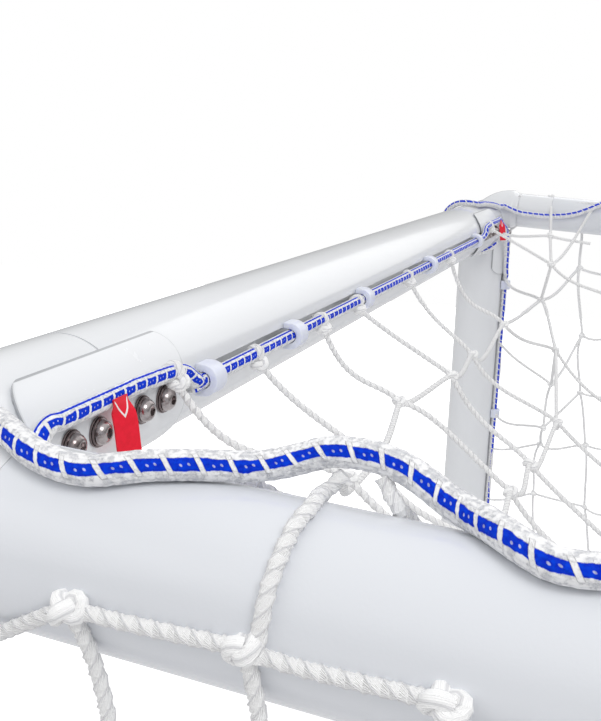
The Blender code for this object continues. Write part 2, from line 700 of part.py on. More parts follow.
def side_net_surface(side, front_depth, reach):
    """The surface of a side panel, which starts behind the post and wraps outside the side bar."""
    front_reach = ELBOW_RADIUS + SEAT_GAP + TWINE
    top_run = TOP_DEPTH - TOP_BEND_RADIUS / 2 - front_depth
    low_run = REAR_Y - POST_Y - BAR_RADIUS - front_depth
    low_z = GROUND_Z + BAR_RADIUS + TWINE

    def surface(share, lift):
        depth = front_depth + (low_run + (top_run - low_run) * lift) * share
        out = ease((depth - front_depth) / LEG_REACH)
        away = front_reach + (reach - front_reach) * out + NET_SLACK * math.sin(out * math.pi)
        turn = out * math.pi / 2
        top_z = bar_axis(side, depth).z - away * math.cos(turn)
        x = side * (HALF_SPAN + away * math.sin(turn))
        return Vector((x, POST_Y + depth, low_z + (top_z - low_z) * lift))

    return surface


def round_tube(distance, degrees, radius, side):
    """A point round the crossbar: distance from the post axis, degrees from the top towards the rear."""
    angle = math.radians(degrees)
    x = side * (HALF_SPAN - distance)
    return Vector((x, POST_Y + radius * math.sin(angle), AXIS_Z + radius * math.cos(angle)))


def rope_mesh(name, route):
    """A round rope along a route, from a curve with a bevel and filled caps."""
    curve = bpy.data.curves.new(name, "CURVE")
    curve.dimensions = "3D"
    spline = curve.splines.new("POLY")
    spline.points.add(len(route) - 1)
    for target, point in zip(spline.points, route):
        target.co = (*point, 1.0)
    curve.bevel_depth = ROPE_RADIUS
    curve.bevel_resolution = 2
    curve.use_fill_caps = True
    return curve


def add_rope(workshop, name, route):
    """Add a rope to the model as a mesh with welded caps."""
    holder = bpy.data.objects.new(name, rope_mesh(name, route))
    workshop.cutters.objects.link(holder)
    mesh = workshop.settle(holder)
    bm = bmesh.new()
    bm.from_mesh(mesh)
    bmesh.ops.remove_doubles(bm, verts=bm.verts, dist=0.00001)
    bm.to_mesh(mesh)
    bm.free()
    workshop.add_part(name, mesh, "edge_rope")


def polar_route(points, place):
    """Smooth points of a run that is given as distance, degrees and radius round a tube."""
    middle = sum(radius for _, _, radius in points) / len(points)
    flat = [
        Vector((distance, math.radians(degrees) * middle, radius)) for distance, degrees, radius in points
    ]
    route = smooth_route(flat, ROPE_PITCH / 2)
    return [place(point.x, math.degrees(point.y / middle), point.z) for point in route]


def front_rope_half(side):
    """Route of the front edge rope from the middle of the crossbar to the foot of one post."""
    seat = FRAME_RADIUS + ROPE_SEAT
    over = ROPE_OVER_SADDLE
    saddle_in = CROSSBAR_SADDLE_CENTRE + CROSSBAR_SADDLE_LENGTH / 2
    saddle_out = CROSSBAR_SADDLE_CENTRE - CROSSBAR_SADDLE_LENGTH / 2
    route = [
        round_tube(HALF_SPAN, 90, seat, side),
        round_tube(saddle_in + 0.060, 90, seat, side),
        round_tube(saddle_in + 0.016, 90, seat, side),
        round_tube(saddle_in + 0.001, 84, over, side),
        round_tube(saddle_in - 0.020, 74, over, side),
        round_tube(CROSSBAR_SADDLE_CENTRE + 0.020, SADDLE_ROPE_ANGLE, over, side),
        round_tube(CROSSBAR_SADDLE_CENTRE, SADDLE_ROPE_ANGLE, over, side),
        round_tube(saddle_out + 0.030, SADDLE_ROPE_ANGLE, over, side),
        round_tube(saddle_out + 0.010, SADDLE_ROPE_ANGLE, over, side),
        round_tube(saddle_out - 0.012, 82, over, side),
    ]
    x = HALF_SPAN
    y = POST_Y + seat
    clear = POST_Y + over
    saddle_low = POST_SADDLE_CENTRE + POST_SADDLE_LENGTH / 2
    for dx, py, drop in (
        (0.076, clear, 0.006),
        (0.046, clear, 0.030),
        (0.026, clear, 0.066),
        (0.019, clear, saddle_low - 0.010),
        (0.009, y + 0.003, saddle_low + 0.003),
        (0.000, y, saddle_low + 0.014),
        (0.000, y, saddle_low + 0.050),
        (0.000, y, AXIS_Z - GROUND_Z - BAR_RADIUS - 2 * ROPE_RADIUS),
    ):
        route.append(Vector((side * (x - dx), py, AXIS_Z - drop)))
    return route


def build_front_rope(workshop):
    """The edge rope along the crossbar and down both posts."""
    left = front_rope_half(SIDES["left"])
    right = front_rope_half(SIDES["right"])
    route = smooth_route([*reversed(left), *right[1:]], ROPE_PITCH)
    add_rope(workshop, "front_rope", thin_straights(route))


def thin_straights(route):
    """Drop the points of a route that lie on a straight stretch."""
    kept = [route[0]]
    for point, following in zip(route[1:], route[2:]):
        if (point - kept[-1]).angle(following - point) > 0.01:
            kept.append(point)
    kept.append(route[-1])
    return kept


def bar_side_point(side, depth, degrees, radius):
    """A point round a top side bar: degrees from its top towards the inside of the goal."""
    angle = math.radians(degrees)
    axis = bar_axis(side, depth)
    return axis + Vector((-side * radius * math.sin(angle), 0, radius * math.cos(angle)))


def seam_rope_route(side):
    """Route of a seam rope: round the crossbar end, along the side bar and down the back stay."""
    seat = BAR_RADIUS + ROPE_SEAT
    wrap = FRAME_RADIUS + ROPE_SEAT + ROPE_GAP
    elbow_seat = ELBOW_RADIUS + ROPE_SEAT
    if side == SIDES["right"]:
        loop = [(0.094, 125, wrap), (0.080, 180, wrap), (0.068, 260, wrap), (0.058, 340, wrap)]
        run = [
            (0.010, 56, elbow_seat + 0.006),
            (0.060, 54, elbow_seat + 0.003),
            (0.090, 38, elbow_seat + 0.001),
            (0.125, 12, seat + 0.001),
            (0.150, -8, seat),
            (0.168, -20, seat),
            (0.190, -23, seat),
            (0.210, -10, seat),
            (0.228, 3, seat),
            (0.243, 14, seat + 0.001),
            (0.256, 21, seat + 0.005),
            (0.272, 22, seat + 0.012),
            (0.292, 22, seat + 0.013),
            (0.306, 21, seat + 0.009),
            (0.318, 19, seat + 0.003),
            (0.329, 12, seat),
            (0.342, -5, seat),
            (0.360, -18, seat),
            (0.385, -10, seat),
            (0.415, 12, seat),
        ]
    else:
        loop = [
            (0.094, 125, wrap),
            (0.110, 180, wrap),
            (0.150, 240, wrap + ROPE_GAP),
            (0.195, 300, wrap + ROPE_GAP),
            (0.226, 345, wrap + ROPE_GAP),
            (0.228, 366, wrap + ROPE_GAP),
            (0.205, 381, wrap),
            (0.157, 385, wrap),
            (0.104, 394, wrap),
            (0.062, 404, wrap),
        ]
        run = [
            (0.050, 80, elbow_seat + 0.001),
            (0.068, 87, elbow_seat),
            (0.086, 93, seat + 0.004),
            (0.112, 95, seat + 0.001),
            (0.140, 95, seat),
            (0.174, 90, seat),
            (0.200, 82, seat + 0.002),
            (0.228, 68, seat + 0.007),
            (0.246, 56, seat + 0.008),
            (0.264, 44, seat + 0.007),
            (0.290, 32, seat + 0.004),
            (0.320, 26, seat + 0.002),
            (0.360, 26, seat),
        ]
    run.append((TOP_DEPTH - TOP_BEND_RADIUS, SEAM_ROPE_ANGLE, seat))
    route = polar_route(loop, lambda *point: round_tube(*point, side))
    route += polar_route(run, lambda *point: bar_side_point(side, *point))
    down = stay_direction(side)
    rearward = Vector((0, -down.z, down.y))
    inset = Vector((-side * seat * math.sin(math.radians(SEAM_ROPE_ANGLE)), 0, 0))
    outward = seat * math.cos(math.radians(SEAM_ROPE_ANGLE))
    offset = rearward * outward + inset
    top = bar_axis(side, TOP_DEPTH)
    tangent = (top - bar_axis(side, 0)).normalized().angle(down) / 2
    run = TOP_BEND_RADIUS * math.tan(tangent)
    along = (bar_axis(side, 1.0) - bar_axis(side, 0.0)).normalized()
    start = top - along * run
    centre = start + Vector((0, along.z, -along.y)) * TOP_BEND_RADIUS
    swing = TOP_BEND_RADIUS + outward + ROPE_GAP
    for step in range(1, BEND_STEPS):
        turn = Matrix.Rotation(-2 * tangent * step / BEND_STEPS, 4, "X")
        route.append(centre + turn @ (start - centre).normalized() * swing + inset)
    corner = rear_corner(side)
    length = (corner - top).length
    for share in (run / length, 0.5, 1 - (BALL_RADIUS + 2 * ROPE_RADIUS) / length):
        route.append(top + down * length * share + offset)
    return route


def build_seam_ropes(workshop):
    """The rope along each top side bar and back stay, where the side panel meets the roof."""
    for name, side in SIDES.items():
        route = smooth_route(seam_rope_route(side), ROPE_PITCH)
        add_rope(workshop, f"seam_rope_{name}", thin_straights(route))


def build_ribbons(workshop):
    """Marker ribbons folded over the front rope at the crossbar's saddles."""
    inner = ROPE_SEAT
    outer = inner + RIBBON_THICKNESS
    stitched = math.radians(100)
    outline = arc(outer, stitched, 0.0, 5)
    outline += [(outer + RIBBON_FLARE, -RIBBON_DROP), (inner + RIBBON_FLARE, -RIBBON_DROP)]
    outline += arc(inner, 0.0, stitched, 5)
    for name, side in SIDES.items():
        centre = round_tube(RIBBON_PLACES[name], SADDLE_ROPE_ANGLE, ROPE_OVER_SADDLE, side)
        half = RIBBON_WIDTH / 2
        path = [centre - Vector((half, 0, 0)), centre + Vector((half, 0, 0))]
        section = [(-up, out) for out, up in outline]
        mesh = swept_section(f"ribbon_{name}", [section], path, (0, 1, 0))
        workshop.add_part(f"ribbon_{name}", mesh, "ribbon_weave")


def main():
    """Build the whole goal."""
    clear_scene()
    workshop = Workshop()
    build_crossbar(workshop)
    for name, side in SIDES.items():
        build_post(workshop, name, side)
        build_corner(workshop, name, side)
        build_side_bar(workshop, name, side)
        build_base_bar(workshop, name, side)
    build_rear_bar(workshop)
    build_feet(workshop)
    build_splices(workshop)
    build_clips(workshop)
    build_nets(workshop)
    build_front_rope(workshop)
    build_seam_ropes(workshop)
    build_ribbons(workshop)


main()
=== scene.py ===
"""Looks of a small white football goal: smooth coated tubes, clips, stitched ropes and knotted net.

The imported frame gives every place. Each sub-assembly is a class that builds its own surfaces with
numpy and dresses them with its own finish. All sizes are in metres.
"""

from __future__ import annotations

import json
import logging
import math
from collections.abc import Callable
from dataclasses import dataclass, field
from enum import Enum

import bmesh
import bpy
import numpy as np
from mathutils import Matrix, Vector

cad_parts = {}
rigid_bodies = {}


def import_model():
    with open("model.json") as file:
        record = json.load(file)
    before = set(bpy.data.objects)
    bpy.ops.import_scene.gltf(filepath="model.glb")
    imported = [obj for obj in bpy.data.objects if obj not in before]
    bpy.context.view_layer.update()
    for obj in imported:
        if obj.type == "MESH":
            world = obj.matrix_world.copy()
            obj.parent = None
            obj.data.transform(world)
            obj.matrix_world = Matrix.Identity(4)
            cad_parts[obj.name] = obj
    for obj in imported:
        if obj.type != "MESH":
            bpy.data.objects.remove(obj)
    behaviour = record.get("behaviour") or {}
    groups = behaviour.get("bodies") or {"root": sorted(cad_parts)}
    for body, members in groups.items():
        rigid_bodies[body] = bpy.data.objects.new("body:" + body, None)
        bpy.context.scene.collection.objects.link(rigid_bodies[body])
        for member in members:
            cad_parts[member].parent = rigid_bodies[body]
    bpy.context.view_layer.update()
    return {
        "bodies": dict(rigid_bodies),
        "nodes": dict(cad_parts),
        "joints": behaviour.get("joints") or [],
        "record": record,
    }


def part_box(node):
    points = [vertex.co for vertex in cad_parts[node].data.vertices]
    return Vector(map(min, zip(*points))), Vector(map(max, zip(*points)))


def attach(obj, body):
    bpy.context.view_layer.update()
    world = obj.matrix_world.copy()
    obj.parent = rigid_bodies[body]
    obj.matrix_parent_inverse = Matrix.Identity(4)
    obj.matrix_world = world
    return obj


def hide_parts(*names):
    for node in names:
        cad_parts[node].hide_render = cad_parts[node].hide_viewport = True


LOG = logging.getLogger("goal")
Array = np.ndarray
UP = np.array((0.0, 0.0, 1.0))
ALONG = np.array((1.0, 0.0, 0.0))
REARWARD = np.array((0.0, 1.0, 0.0))
FRAME_BODY = "goal_frame"
UV_NAME = "strip"
SMOOTH_ANGLE = math.radians(38)


class Side(Enum):
    """The two ends of the goal, with the sign of X there."""

    LEFT = -1
    RIGHT = 1

    @property
    def word(self) -> str:
        """The side's name as it stands in node names."""
        return self.name.lower()


class Rail(Enum):
    """The two kinds of tube with a channel, by the first word of their nodes' names."""

    CROSSBAR = "crossbar"
    POST = "post"

    @property
    def axes(self) -> tuple[Array, Array]:
        """The directions along the tube and across it."""
        return (ALONG, UP) if self is Rail.CROSSBAR else (UP, ALONG)


class Wire:
    """A shader socket that takes part in Python arithmetic."""

    def __init__(self, shop: Shader, socket: bpy.types.NodeSocket) -> None:
        """Keep the material it belongs to and the socket."""
        self.shop = shop
        self.socket = socket

    def _math(self, operation: str, *values: Wire | float) -> Wire:
        """Add a Math node.

        Args:
            operation: The node's operation.
            values: Its inputs, as wires or numbers.

        Returns:
            The node's result.
        """
        inputs = dict(enumerate(values))
        return self.shop.node("ShaderNodeMath", {"operation": operation}, inputs)

    def __add__(self, other: Wire | float) -> Wire:
        """The sum."""
        return self._math("ADD", self, other)

    def __radd__(self, other: float) -> Wire:
        """The sum with a number on the left."""
        return self._math("ADD", other, self)

    def __sub__(self, other: Wire | float) -> Wire:
        """The difference."""
        return self._math("SUBTRACT", self, other)

    def __rsub__(self, other: float) -> Wire:
        """The difference from a number."""
        return self._math("SUBTRACT", other, self)

    def __mul__(self, other: Wire | float) -> Wire:
        """The product."""
        return self._math("MULTIPLY", self, other)

    def __rmul__(self, other: float) -> Wire:
        """The product with a number on the left."""
        return self._math("MULTIPLY", other, self)

    def __truediv__(self, other: Wire | float) -> Wire:
        """The quotient."""
        return self._math("DIVIDE", self, other)

    def sine(self) -> Wire:
        """The sine of a value in radians."""
        return self._math("SINE", self)

    def size(self) -> Wire:
        """The value without its sign."""
        return self._math("ABSOLUTE", self)

    def share(self) -> Wire:
        """The part after the decimal point, from 0 to 1."""
        return self._math("FRACT", self)

    def least(self, other: Wire | float) -> Wire:
        """The smaller of two values."""
        return self._math("MINIMUM", self, other)

    def most(self, other: Wire | float) -> Wire:
        """The larger of two values."""
        return self._math("MAXIMUM", self, other)

    def step(self, low: float, high: float) -> Wire:
        """A smooth step.

        Args:
            low: Where the result is 0.
            high: Where the result is 1.

        Returns:
            A value from 0 to 1.
        """
        settings = {"interpolation_type": "SMOOTHSTEP"}
        values = {"Value": self, "From Min": low, "From Max": high}
        return self.shop.node("ShaderNodeMapRange", settings, values)


class Shader:
    """Builds one Principled material."""

    def __init__(self, name: str) -> None:
        """Start a material with nothing but its shader and output.

        Args:
            name: The material's name.
        """
        self.material = bpy.data.materials.new(name)
        self.material.use_nodes = True
        self.tree = self.material.node_tree
        self.surface = self.tree.nodes["Principled BSDF"]

    def node(self, kind: str, settings: dict, values: dict, output: int | str = 0) -> Wire:
        """Add any node.

        Args:
            kind: The node's type.
            settings: Its properties, set before its sockets.
            values: Its sockets' values or wires, by name or number.
            output: The output that is wanted.

        Returns:
            That output.
        """
        node = self.tree.nodes.new(kind)
        for key, value in settings.items():
            setattr(node, key, value)
        for key, value in values.items():
            self.feed(node.inputs[key], value)
        return Wire(self, node.outputs[output])

    def feed(self, socket: bpy.types.NodeSocket, value: Wire | float | tuple) -> None:
        """Link a wire to a socket, or set its value.

        Args:
            socket: An input.
            value: A wire, a number, a colour or a vector.
        """
        if isinstance(value, Wire):
            self.tree.links.new(value.socket, socket)
        elif isinstance(value, tuple) and len(value) == 3 and socket.type == "RGBA":
            socket.default_value = (*value, 1.0)
        else:
            socket.default_value = value

    def set(self, **values: Wire | float | tuple) -> None:
        """Feed the shader's own sockets, whose names are written with underscores."""
        for key, value in values.items():
            self.feed(self.surface.inputs[key.replace("_", " ").title().replace("Ior", "IOR")], value)

    def place(self) -> Wire:
        """Object coordinates, in metres."""
        return self.node("ShaderNodeTexCoord", {}, {}, "Object")

    def strip(self) -> tuple[Wire, Wire]:
        """The piece's own UV map: turns around, and metres along.

        Returns:
            U and V.
        """
        uv = self.node("ShaderNodeUVMap", {"uv_map": UV_NAME}, {})
        around = self.node("ShaderNodeSeparateXYZ", {}, {0: uv}, "X")
        along = self.node("ShaderNodeSeparateXYZ", {}, {0: uv}, "Y")
        return around, along

    def noise(self, vector: Wire, scale: float, detail: float = 3.0, rough: float = 0.5) -> Wire:
        """Soft noise from 0 to 1.

        Args:
            vector: Where it is read.
            scale: Features for each metre.
            detail: Octaves.
            rough: The weight of the finer octaves.

        Returns:
            The noise.
        """
        values = {"Vector": vector, "Scale": scale, "Detail": detail, "Roughness": rough}
        return self.node("ShaderNodeTexNoise", {}, values, 0)

    def mix(self, factor: Wire | float, first: tuple | Wire, second: tuple | Wire) -> Wire:
        """Blend two colours.

        Args:
            factor: 0 for the first, 1 for the second.
            first: A colour.
            second: A colour.

        Returns:
            The blend.
        """
        node = self.tree.nodes.new("ShaderNodeMix")
        node.data_type = "RGBA"
        self.feed(node.inputs["Factor"], factor)
        colours = [socket for socket in node.inputs if socket.type == "RGBA"]
        self.feed(colours[0], first)
        self.feed(colours[1], second)
        return Wire(self, next(socket for socket in node.outputs if socket.type == "RGBA"))

    def bump(self, height: Wire, depth: float) -> None:
        """Raise the surface by a height from 0 to 1, whose full depth is in metres."""
        values = {"Height": height, "Distance": depth, "Strength": 1.0}
        self.set(normal=self.node("ShaderNodeBump", {}, values))


@dataclass(frozen=True)
class PowderCoat:
    """Glossy white powder coat with a faint orange peel; a plate also has a painted shadow line at its rim.
    """

    name: str
    colour: tuple = (0.83, 0.845, 0.87)
    roughness: float = 0.2
    peel: float = 0.00004
    # The painted shadow line at a plate's rim: where the face ends in U, and the line's width, blur and grey.
    rim: float = 0.0
    rim_width: float = 0.0085
    rim_blur: float = 0.001
    rim_tone: tuple = (0.34, 0.35, 0.37)

    def make(self) -> bpy.types.Material:
        """Soft darker clouds in the colour, smudges in the gloss and a fine peel.

        Returns:
            The material.
        """
        shop = Shader(self.name)
        place = shop.place()
        cloud = shop.noise(place, 5.0, 4.0).step(0.35, 0.7)
        smudge = shop.noise(place, 38.0, 6.0, 0.65).step(0.52, 0.75)
        shade = tuple(channel * 0.965 for channel in self.colour)
        coat = shop.mix(cloud * 0.7, self.colour, shade)
        # Painted shadow: a thin grey line along the plate's rim and a fainter one across its ends.
        if self.rim > 0.0:
            coat = shop.mix(self.rim_line(shop) * 0.85, coat, self.rim_tone)
        shop.set(base_color=coat)
        shop.set(roughness=self.roughness + smudge * 0.02, specular_ior_level=0.5)
        shop.set(coat_weight=0.3, coat_roughness=0.06)
        shop.bump(shop.noise(place, 620.0, 2.0), self.peel)
        return shop.material

    def rim_line(self, shop: Shader) -> Wire:
        """1 along the painted shadow line at the rim of a plate, whose outer face has a U from 0 to the rim's
        value.

        Args:
            shop: The material.

        Returns:
            The line's strength.
        """
        around, along = shop.strip()
        inner = self.rim - self.rim_width
        upper = around.step(inner - self.rim_blur, inner + self.rim_blur)
        upper = upper * (1.0 - around.step(self.rim + 1.5 * self.rim_blur, self.rim + 2.5 * self.rim_blur))
        lower = 1.0 - around.step(self.rim_width - self.rim_blur, self.rim_width + self.rim_blur)
        ends = (along - 0.5).size().step(0.490, 0.496) * 0.3
        return upper.most(lower).most(ends)


@dataclass(frozen=True)
class Polished:
    """Stainless steel with turning marks and darker hollows; screws also have dark washers."""

    name: str
    colour: tuple = (0.62, 0.57, 0.57)
    roughness: float = 0.12
    dark: tuple = (0.16, 0.125, 0.125)
    dark_until: float = 0.0

    def make(self) -> bpy.types.Material:
        """Darker patches in the colour, and a grain in the gloss and the relief.

        Returns:
            The material.
        """
        shop = Shader(self.name)
        place = shop.place()
        grain = shop.noise(place, 900.0, 4.0, 0.6)
        tone = shop.noise(place, 140.0, 3.0).step(0.45, 0.7) * 0.8
        if self.dark_until > 0.0:
            along = shop.strip()[1]
            bright = along.step(self.dark_until - 0.0005, self.dark_until + 0.0005)
            tone = tone.most((1.0 - bright) * 0.9)
        shop.set(base_color=shop.mix(tone, self.colour, self.dark), metallic=1.0)
        shop.set(roughness=self.roughness + grain * 0.14)
        shop.bump(grain, 0.00005)
        return shop.material


@dataclass(frozen=True)
class Moulded:
    """Moulded plastic or rubber with a fine grain; nylon lets a little light in."""

    name: str
    colour: tuple
    roughness: float
    milk: float = 0.0

    def make(self) -> bpy.types.Material:
        """Soft flow marks in the colour and the gloss, over a fine grain.

        Returns:
            The material.
        """
        shop = Shader(self.name)
        place = shop.place()
        flow = shop.noise(place, 60.0, 3.0).step(0.3, 0.75)
        shade = tuple(channel * 0.94 for channel in self.colour)
        shop.set(base_color=shop.mix(flow, self.colour, shade))
        shop.set(roughness=self.roughness + flow * 0.08, subsurface_weight=self.milk)
        shop.set(subsurface_radius=(0.006, 0.006, 0.008), subsurface_scale=0.6)
        shop.bump(shop.noise(place, 1400.0, 2.0), 0.00003)
        return shop.material


@dataclass(frozen=True)
class TwistedTwine:
    """White three-strand twine: painted shade in the grooves between the strands and fine slanting yarns."""

    name: str
    colour: tuple = (0.95, 0.95, 0.95)
    # The grooves' grey is painted shade between the strands.
    groove: tuple = (0.60, 0.60, 0.62)
    yarns: float = 27.0
    lean: float = 160.0

    def make(self) -> bpy.types.Material:
        """Three grooves of painted shade to a turn, and yarns as a sine of the turn plus the length.

        Returns:
            The material.
        """
        shop = Shader(self.name)
        around, along = shop.strip()
        lobe = ((around * 3.0).share() - 0.5).size()
        # Painted shade: darker towards the grooves between the three strands.
        groove = lobe.step(0.30, 0.5)
        yarn = ((around * self.yarns + along * self.lean) * math.tau).sine() * 0.5 + 0.5
        fluff = shop.noise(shop.place(), 1500.0, 3.0, 0.6)
        tone = groove * 0.8 + (1.0 - yarn) * 0.14
        shop.set(base_color=shop.mix(tone.least(1.0), self.colour, self.groove))
        shop.set(roughness=0.62 + fluff * 0.2, sheen_weight=0.25, specular_ior_level=0.3)
        # A faint white glow: painted light that keeps the twine bright.
        shop.set(emission_color=(1.0, 1.0, 1.0), emission_strength=0.10)
        shop.bump(yarn * 0.6 + fluff * 0.4, 0.00022)
        return shop.material


@dataclass(frozen=True)
class StitchedRope:
    """White braided edge rope with blue core lines that show between slanting white stitches."""

    name: str
    radius: float
    dashed_turn: float
    plain_turn: float
    slant: float = -0.5
    dashed_half: float = 0.0026
    plain_half: float = 0.0011
    pitch: float = 0.0140
    stitch: float = 0.19
    blue: tuple = (0.0, 0.022, 0.60)
    glint: tuple = (0.0, 0.09, 0.92)
    thread: tuple = (0.95, 0.95, 0.96)
    gap: tuple = (0.58, 0.59, 0.63)

    def arc(self, around: Wire, turn: float) -> Wire:
        """The signed distance round the rope from a line that lies at a share of a turn."""
        return ((around - (turn - 0.5)).share() - 0.5) * (math.tau * self.radius)

    def make(self) -> bpy.types.Material:
        """A dashed and a plain blue line over a braid, the product of two crossing sines.

        Returns:
            The material.
        """
        shop = Shader(self.name)
        around, along = shop.strip()
        place = shop.place()
        rag = (shop.noise(place, 420.0, 3.0, 0.6) - 0.5) * 0.0011
        across = self.arc(around, self.dashed_turn)
        wobble = (shop.noise(place, 95.0, 2.0) - 0.5) * 0.0022
        beat = (along / self.pitch + across * (self.slant / self.pitch) + rag * 40.0).share()
        stitch = 1.0 - (beat - self.stitch / 2).size().step(self.stitch * 0.38, self.stitch * 0.56)
        edge = across.size() + rag + wobble
        dashed = 1.0 - edge.step(self.dashed_half * 0.9, self.dashed_half * 1.12)
        cord = stitch * (1.0 - edge.step(self.dashed_half * 1.6, self.dashed_half * 2.1))
        plain_across = self.arc(around, self.plain_turn)
        plain = 1.0 - (plain_across.size() + rag).step(self.plain_half * 0.8, self.plain_half * 1.2)
        dot = self.dots(across, beat)
        blue = (dashed * (1.0 - stitch) * (1.0 - dot)).most(plain)
        first = ((around * 9.0 + along * 150.0) * math.tau).sine()
        second = ((around * 9.0 - along * 150.0) * math.tau).sine()
        braid = (first * second) * 0.5 + 0.5
        lumps = shop.noise(place, 330.0, 4.0, 0.65).step(0.36, 0.58)
        cover = (braid * 0.45 + lumps * 0.8).least(1.0)
        shaded = shop.mix(cover, self.gap, self.thread)
        sewn = shop.mix(cord, shaded, self.thread)
        weave = shop.mix(braid * 0.3 + lumps * 0.2, self.blue, self.glint)
        shop.set(base_color=shop.mix(blue, sewn, weave))
        shop.set(roughness=0.6 + lumps * 0.2, specular_ior_level=0.12)
        shop.bump(cover * 0.5 + cord * 0.8 - dashed * 0.25, 0.0009)
        return shop.material

    def dots(self, across: Wire, beat: Wire) -> Wire:
        """Two small round white flecks in each blue block.

        Args:
            across: The distance from the band's middle.
            beat: The share of a stitch's pitch.

        Returns:
            The flecks' strength.
        """
        flecks = None
        for middle, shift in ((0.50, 0.0003), (0.76, -0.0001)):
            ahead = (beat - middle) * self.pitch
            beside = across - shift
            near = ahead * ahead + beside * beside
            fleck = 1.0 - near.step(0.0002**2, 0.0007**2)
            flecks = fleck if flecks is None else flecks.most(fleck)
        return flecks * 0.6


@dataclass(frozen=True)
class WovenRibbon:
    """Red marker ribbon with a fine plain weave and a white V of stitches at its top."""

    name: str
    colour: tuple = (0.93, 0.012, 0.04)
    shade: tuple = (0.72, 0.006, 0.022)
    threads: float = 1500.0
    stitch_start: float = 0.0012
    stitch_lean: float = 1.5
    stitch_depth: float = 0.012
    stitch_half: float = 0.0010
    thread: tuple = (0.95, 0.93, 0.93)

    def make(self) -> bpy.types.Material:
        """A weave, the product of two crossing sines, under a V of stitches.

        Returns:
            The material.
        """
        shop = Shader(self.name)
        around, along = shop.strip()
        weft = (along * (self.threads * math.tau)).sine()
        warp = (around * (self.threads * math.tau)).sine()
        weave = (weft * warp) * 0.5 + 0.5
        fade = shop.noise(shop.place(), 240.0, 5.0, 0.6).step(0.35, 0.7)
        leg = around.size() * self.stitch_lean
        drop = along - self.stitch_start
        off = (drop + leg - self.stitch_depth).size()
        sewn = (1.0 - off.step(self.stitch_half * 0.6, self.stitch_half * 1.4)) * drop.step(-0.0005, 0.0005)
        sewn = sewn * (1.0 - around.size().step(0.0072, 0.0078))
        cloth = shop.mix(weave * 0.35 + fade * 0.4, self.colour, self.shade)
        shop.set(base_color=shop.mix(sewn, cloth, self.thread))
        shop.set(roughness=0.62, sheen_weight=0.15, specular_ior_level=0.2)
        shop.bump(weave * 0.4 + fade * 0.3 + sewn * 0.8, 0.0002)
        return shop.material


@dataclass
class Surface:
    """Points, quads with the UV of each corner, and cap outlines."""

    points: Array
    quads: Array
    corners: Array
    caps: list = field(default_factory=list)

    @staticmethod
    def grid(points: Array, around: Array, along: Array, closed: bool) -> Surface:
        """A surface from a grid of points.

        Each quad joins two neighbouring rows and two neighbouring columns; a closed grid also joins
        its last column to its first.

        Args:
            points: Rows by columns by 3.
            around: The U of every column, and of the closing one where the grid is closed.
            along: The V of every row.
            closed: Whether the columns form rings.

        Returns:
            The surface.
        """
        rows, columns = points.shape[:2]
        index = np.arange(rows * columns).reshape(rows, columns)
        if closed:
            index = np.concatenate((index, index[:, :1]), axis=1)
        quads = np.stack((index[:-1, :-1], index[:-1, 1:], index[1:, 1:], index[1:, :-1]), axis=-1)
        u, v = np.meshgrid(around, along)
        uv = np.stack((u, v), axis=-1)
        corners = np.stack((uv[:-1, :-1], uv[:-1, 1:], uv[1:, 1:], uv[1:, :-1]), axis=-2)
        return Surface(points.reshape(-1, 3), quads.reshape(-1, 4), corners.reshape(-1, 4, 2))

    @staticmethod
    def slab(front: Array, rear: Array, around: Array, along: Array) -> Surface:
        """A thin closed solid between two grids of one size.

        Args:
            front: One face: rows by columns by 3.
            rear: The other face.
            around: The U of the front's columns, of the rear's backwards, and of the closing one.
            along: The V of every row.

        Returns:
            The solid's surface, with a strip of quads at its first and last row.
        """
        closed = np.concatenate((front, rear[:, ::-1]), axis=1)
        slab = Surface.grid(closed, around, along, True)
        columns = front.shape[1]
        first = np.arange(columns * 2)
        for edge in (first, first + (len(front) - 1) * columns * 2):
            for index in range(columns - 1):
                slab.caps.append(edge[[index, index + 1, -2 - index, -1 - index]])
        return slab

    @staticmethod
    def tube(rings: Array, along: Array) -> Surface:
        """A closed tube from rings of points, with a cap at each end.

        Args:
            rings: Rings by sides by 3.
            along: The V of every ring.

        Returns:
            The tube.
        """
        columns = rings.shape[1]
        surface = Surface.grid(rings, np.linspace(0.0, 1.0, columns + 1), along, True)
        last = (rings.shape[0] - 1) * columns
        surface.caps = [np.arange(columns)[::-1], last + np.arange(columns)]
        return surface

    @staticmethod
    def joined(parts: list[Surface]) -> Surface:
        """One surface that holds several.

        Args:
            parts: The surfaces.

        Returns:
            The surface.
        """
        offsets = np.cumsum([0] + [len(part.points) for part in parts])
        return Surface(
            np.concatenate([part.points for part in parts]),
            np.concatenate([part.quads + offset for part, offset in zip(parts, offsets)]),
            np.concatenate([part.corners for part in parts]),
            [cap + offset for part, offset in zip(parts, offsets) for cap in part.caps],
        )

    def moved(self, matrix: Array, place: Array) -> Surface:
        """A copy that is turned by a 3 by 3 matrix and then moved."""
        return Surface(self.points @ matrix.T + place, self.quads, self.corners, self.caps)

    def mesh(self, name: str) -> bpy.types.Mesh:
        """Put the surface into a mesh with its UV map and smooth faces.

        Args:
            name: The mesh's name.

        Returns:
            The mesh.
        """
        mesh = bpy.data.meshes.new(name)
        faces = self.quads.tolist() + [cap.tolist() for cap in self.caps]
        mesh.from_pydata(self.points.tolist(), [], faces)
        layer = mesh.uv_layers.new(name=UV_NAME)
        uv = np.zeros((len(layer.data), 2), np.float32)
        uv[: self.corners.shape[0] * 4] = self.corners.reshape(-1, 2)
        layer.data.foreach_set("uv", uv.ravel())
        mesh.shade_smooth()
        mesh.set_sharp_from_angle(angle=SMOOTH_ANGLE)
        mesh.update()
        return mesh


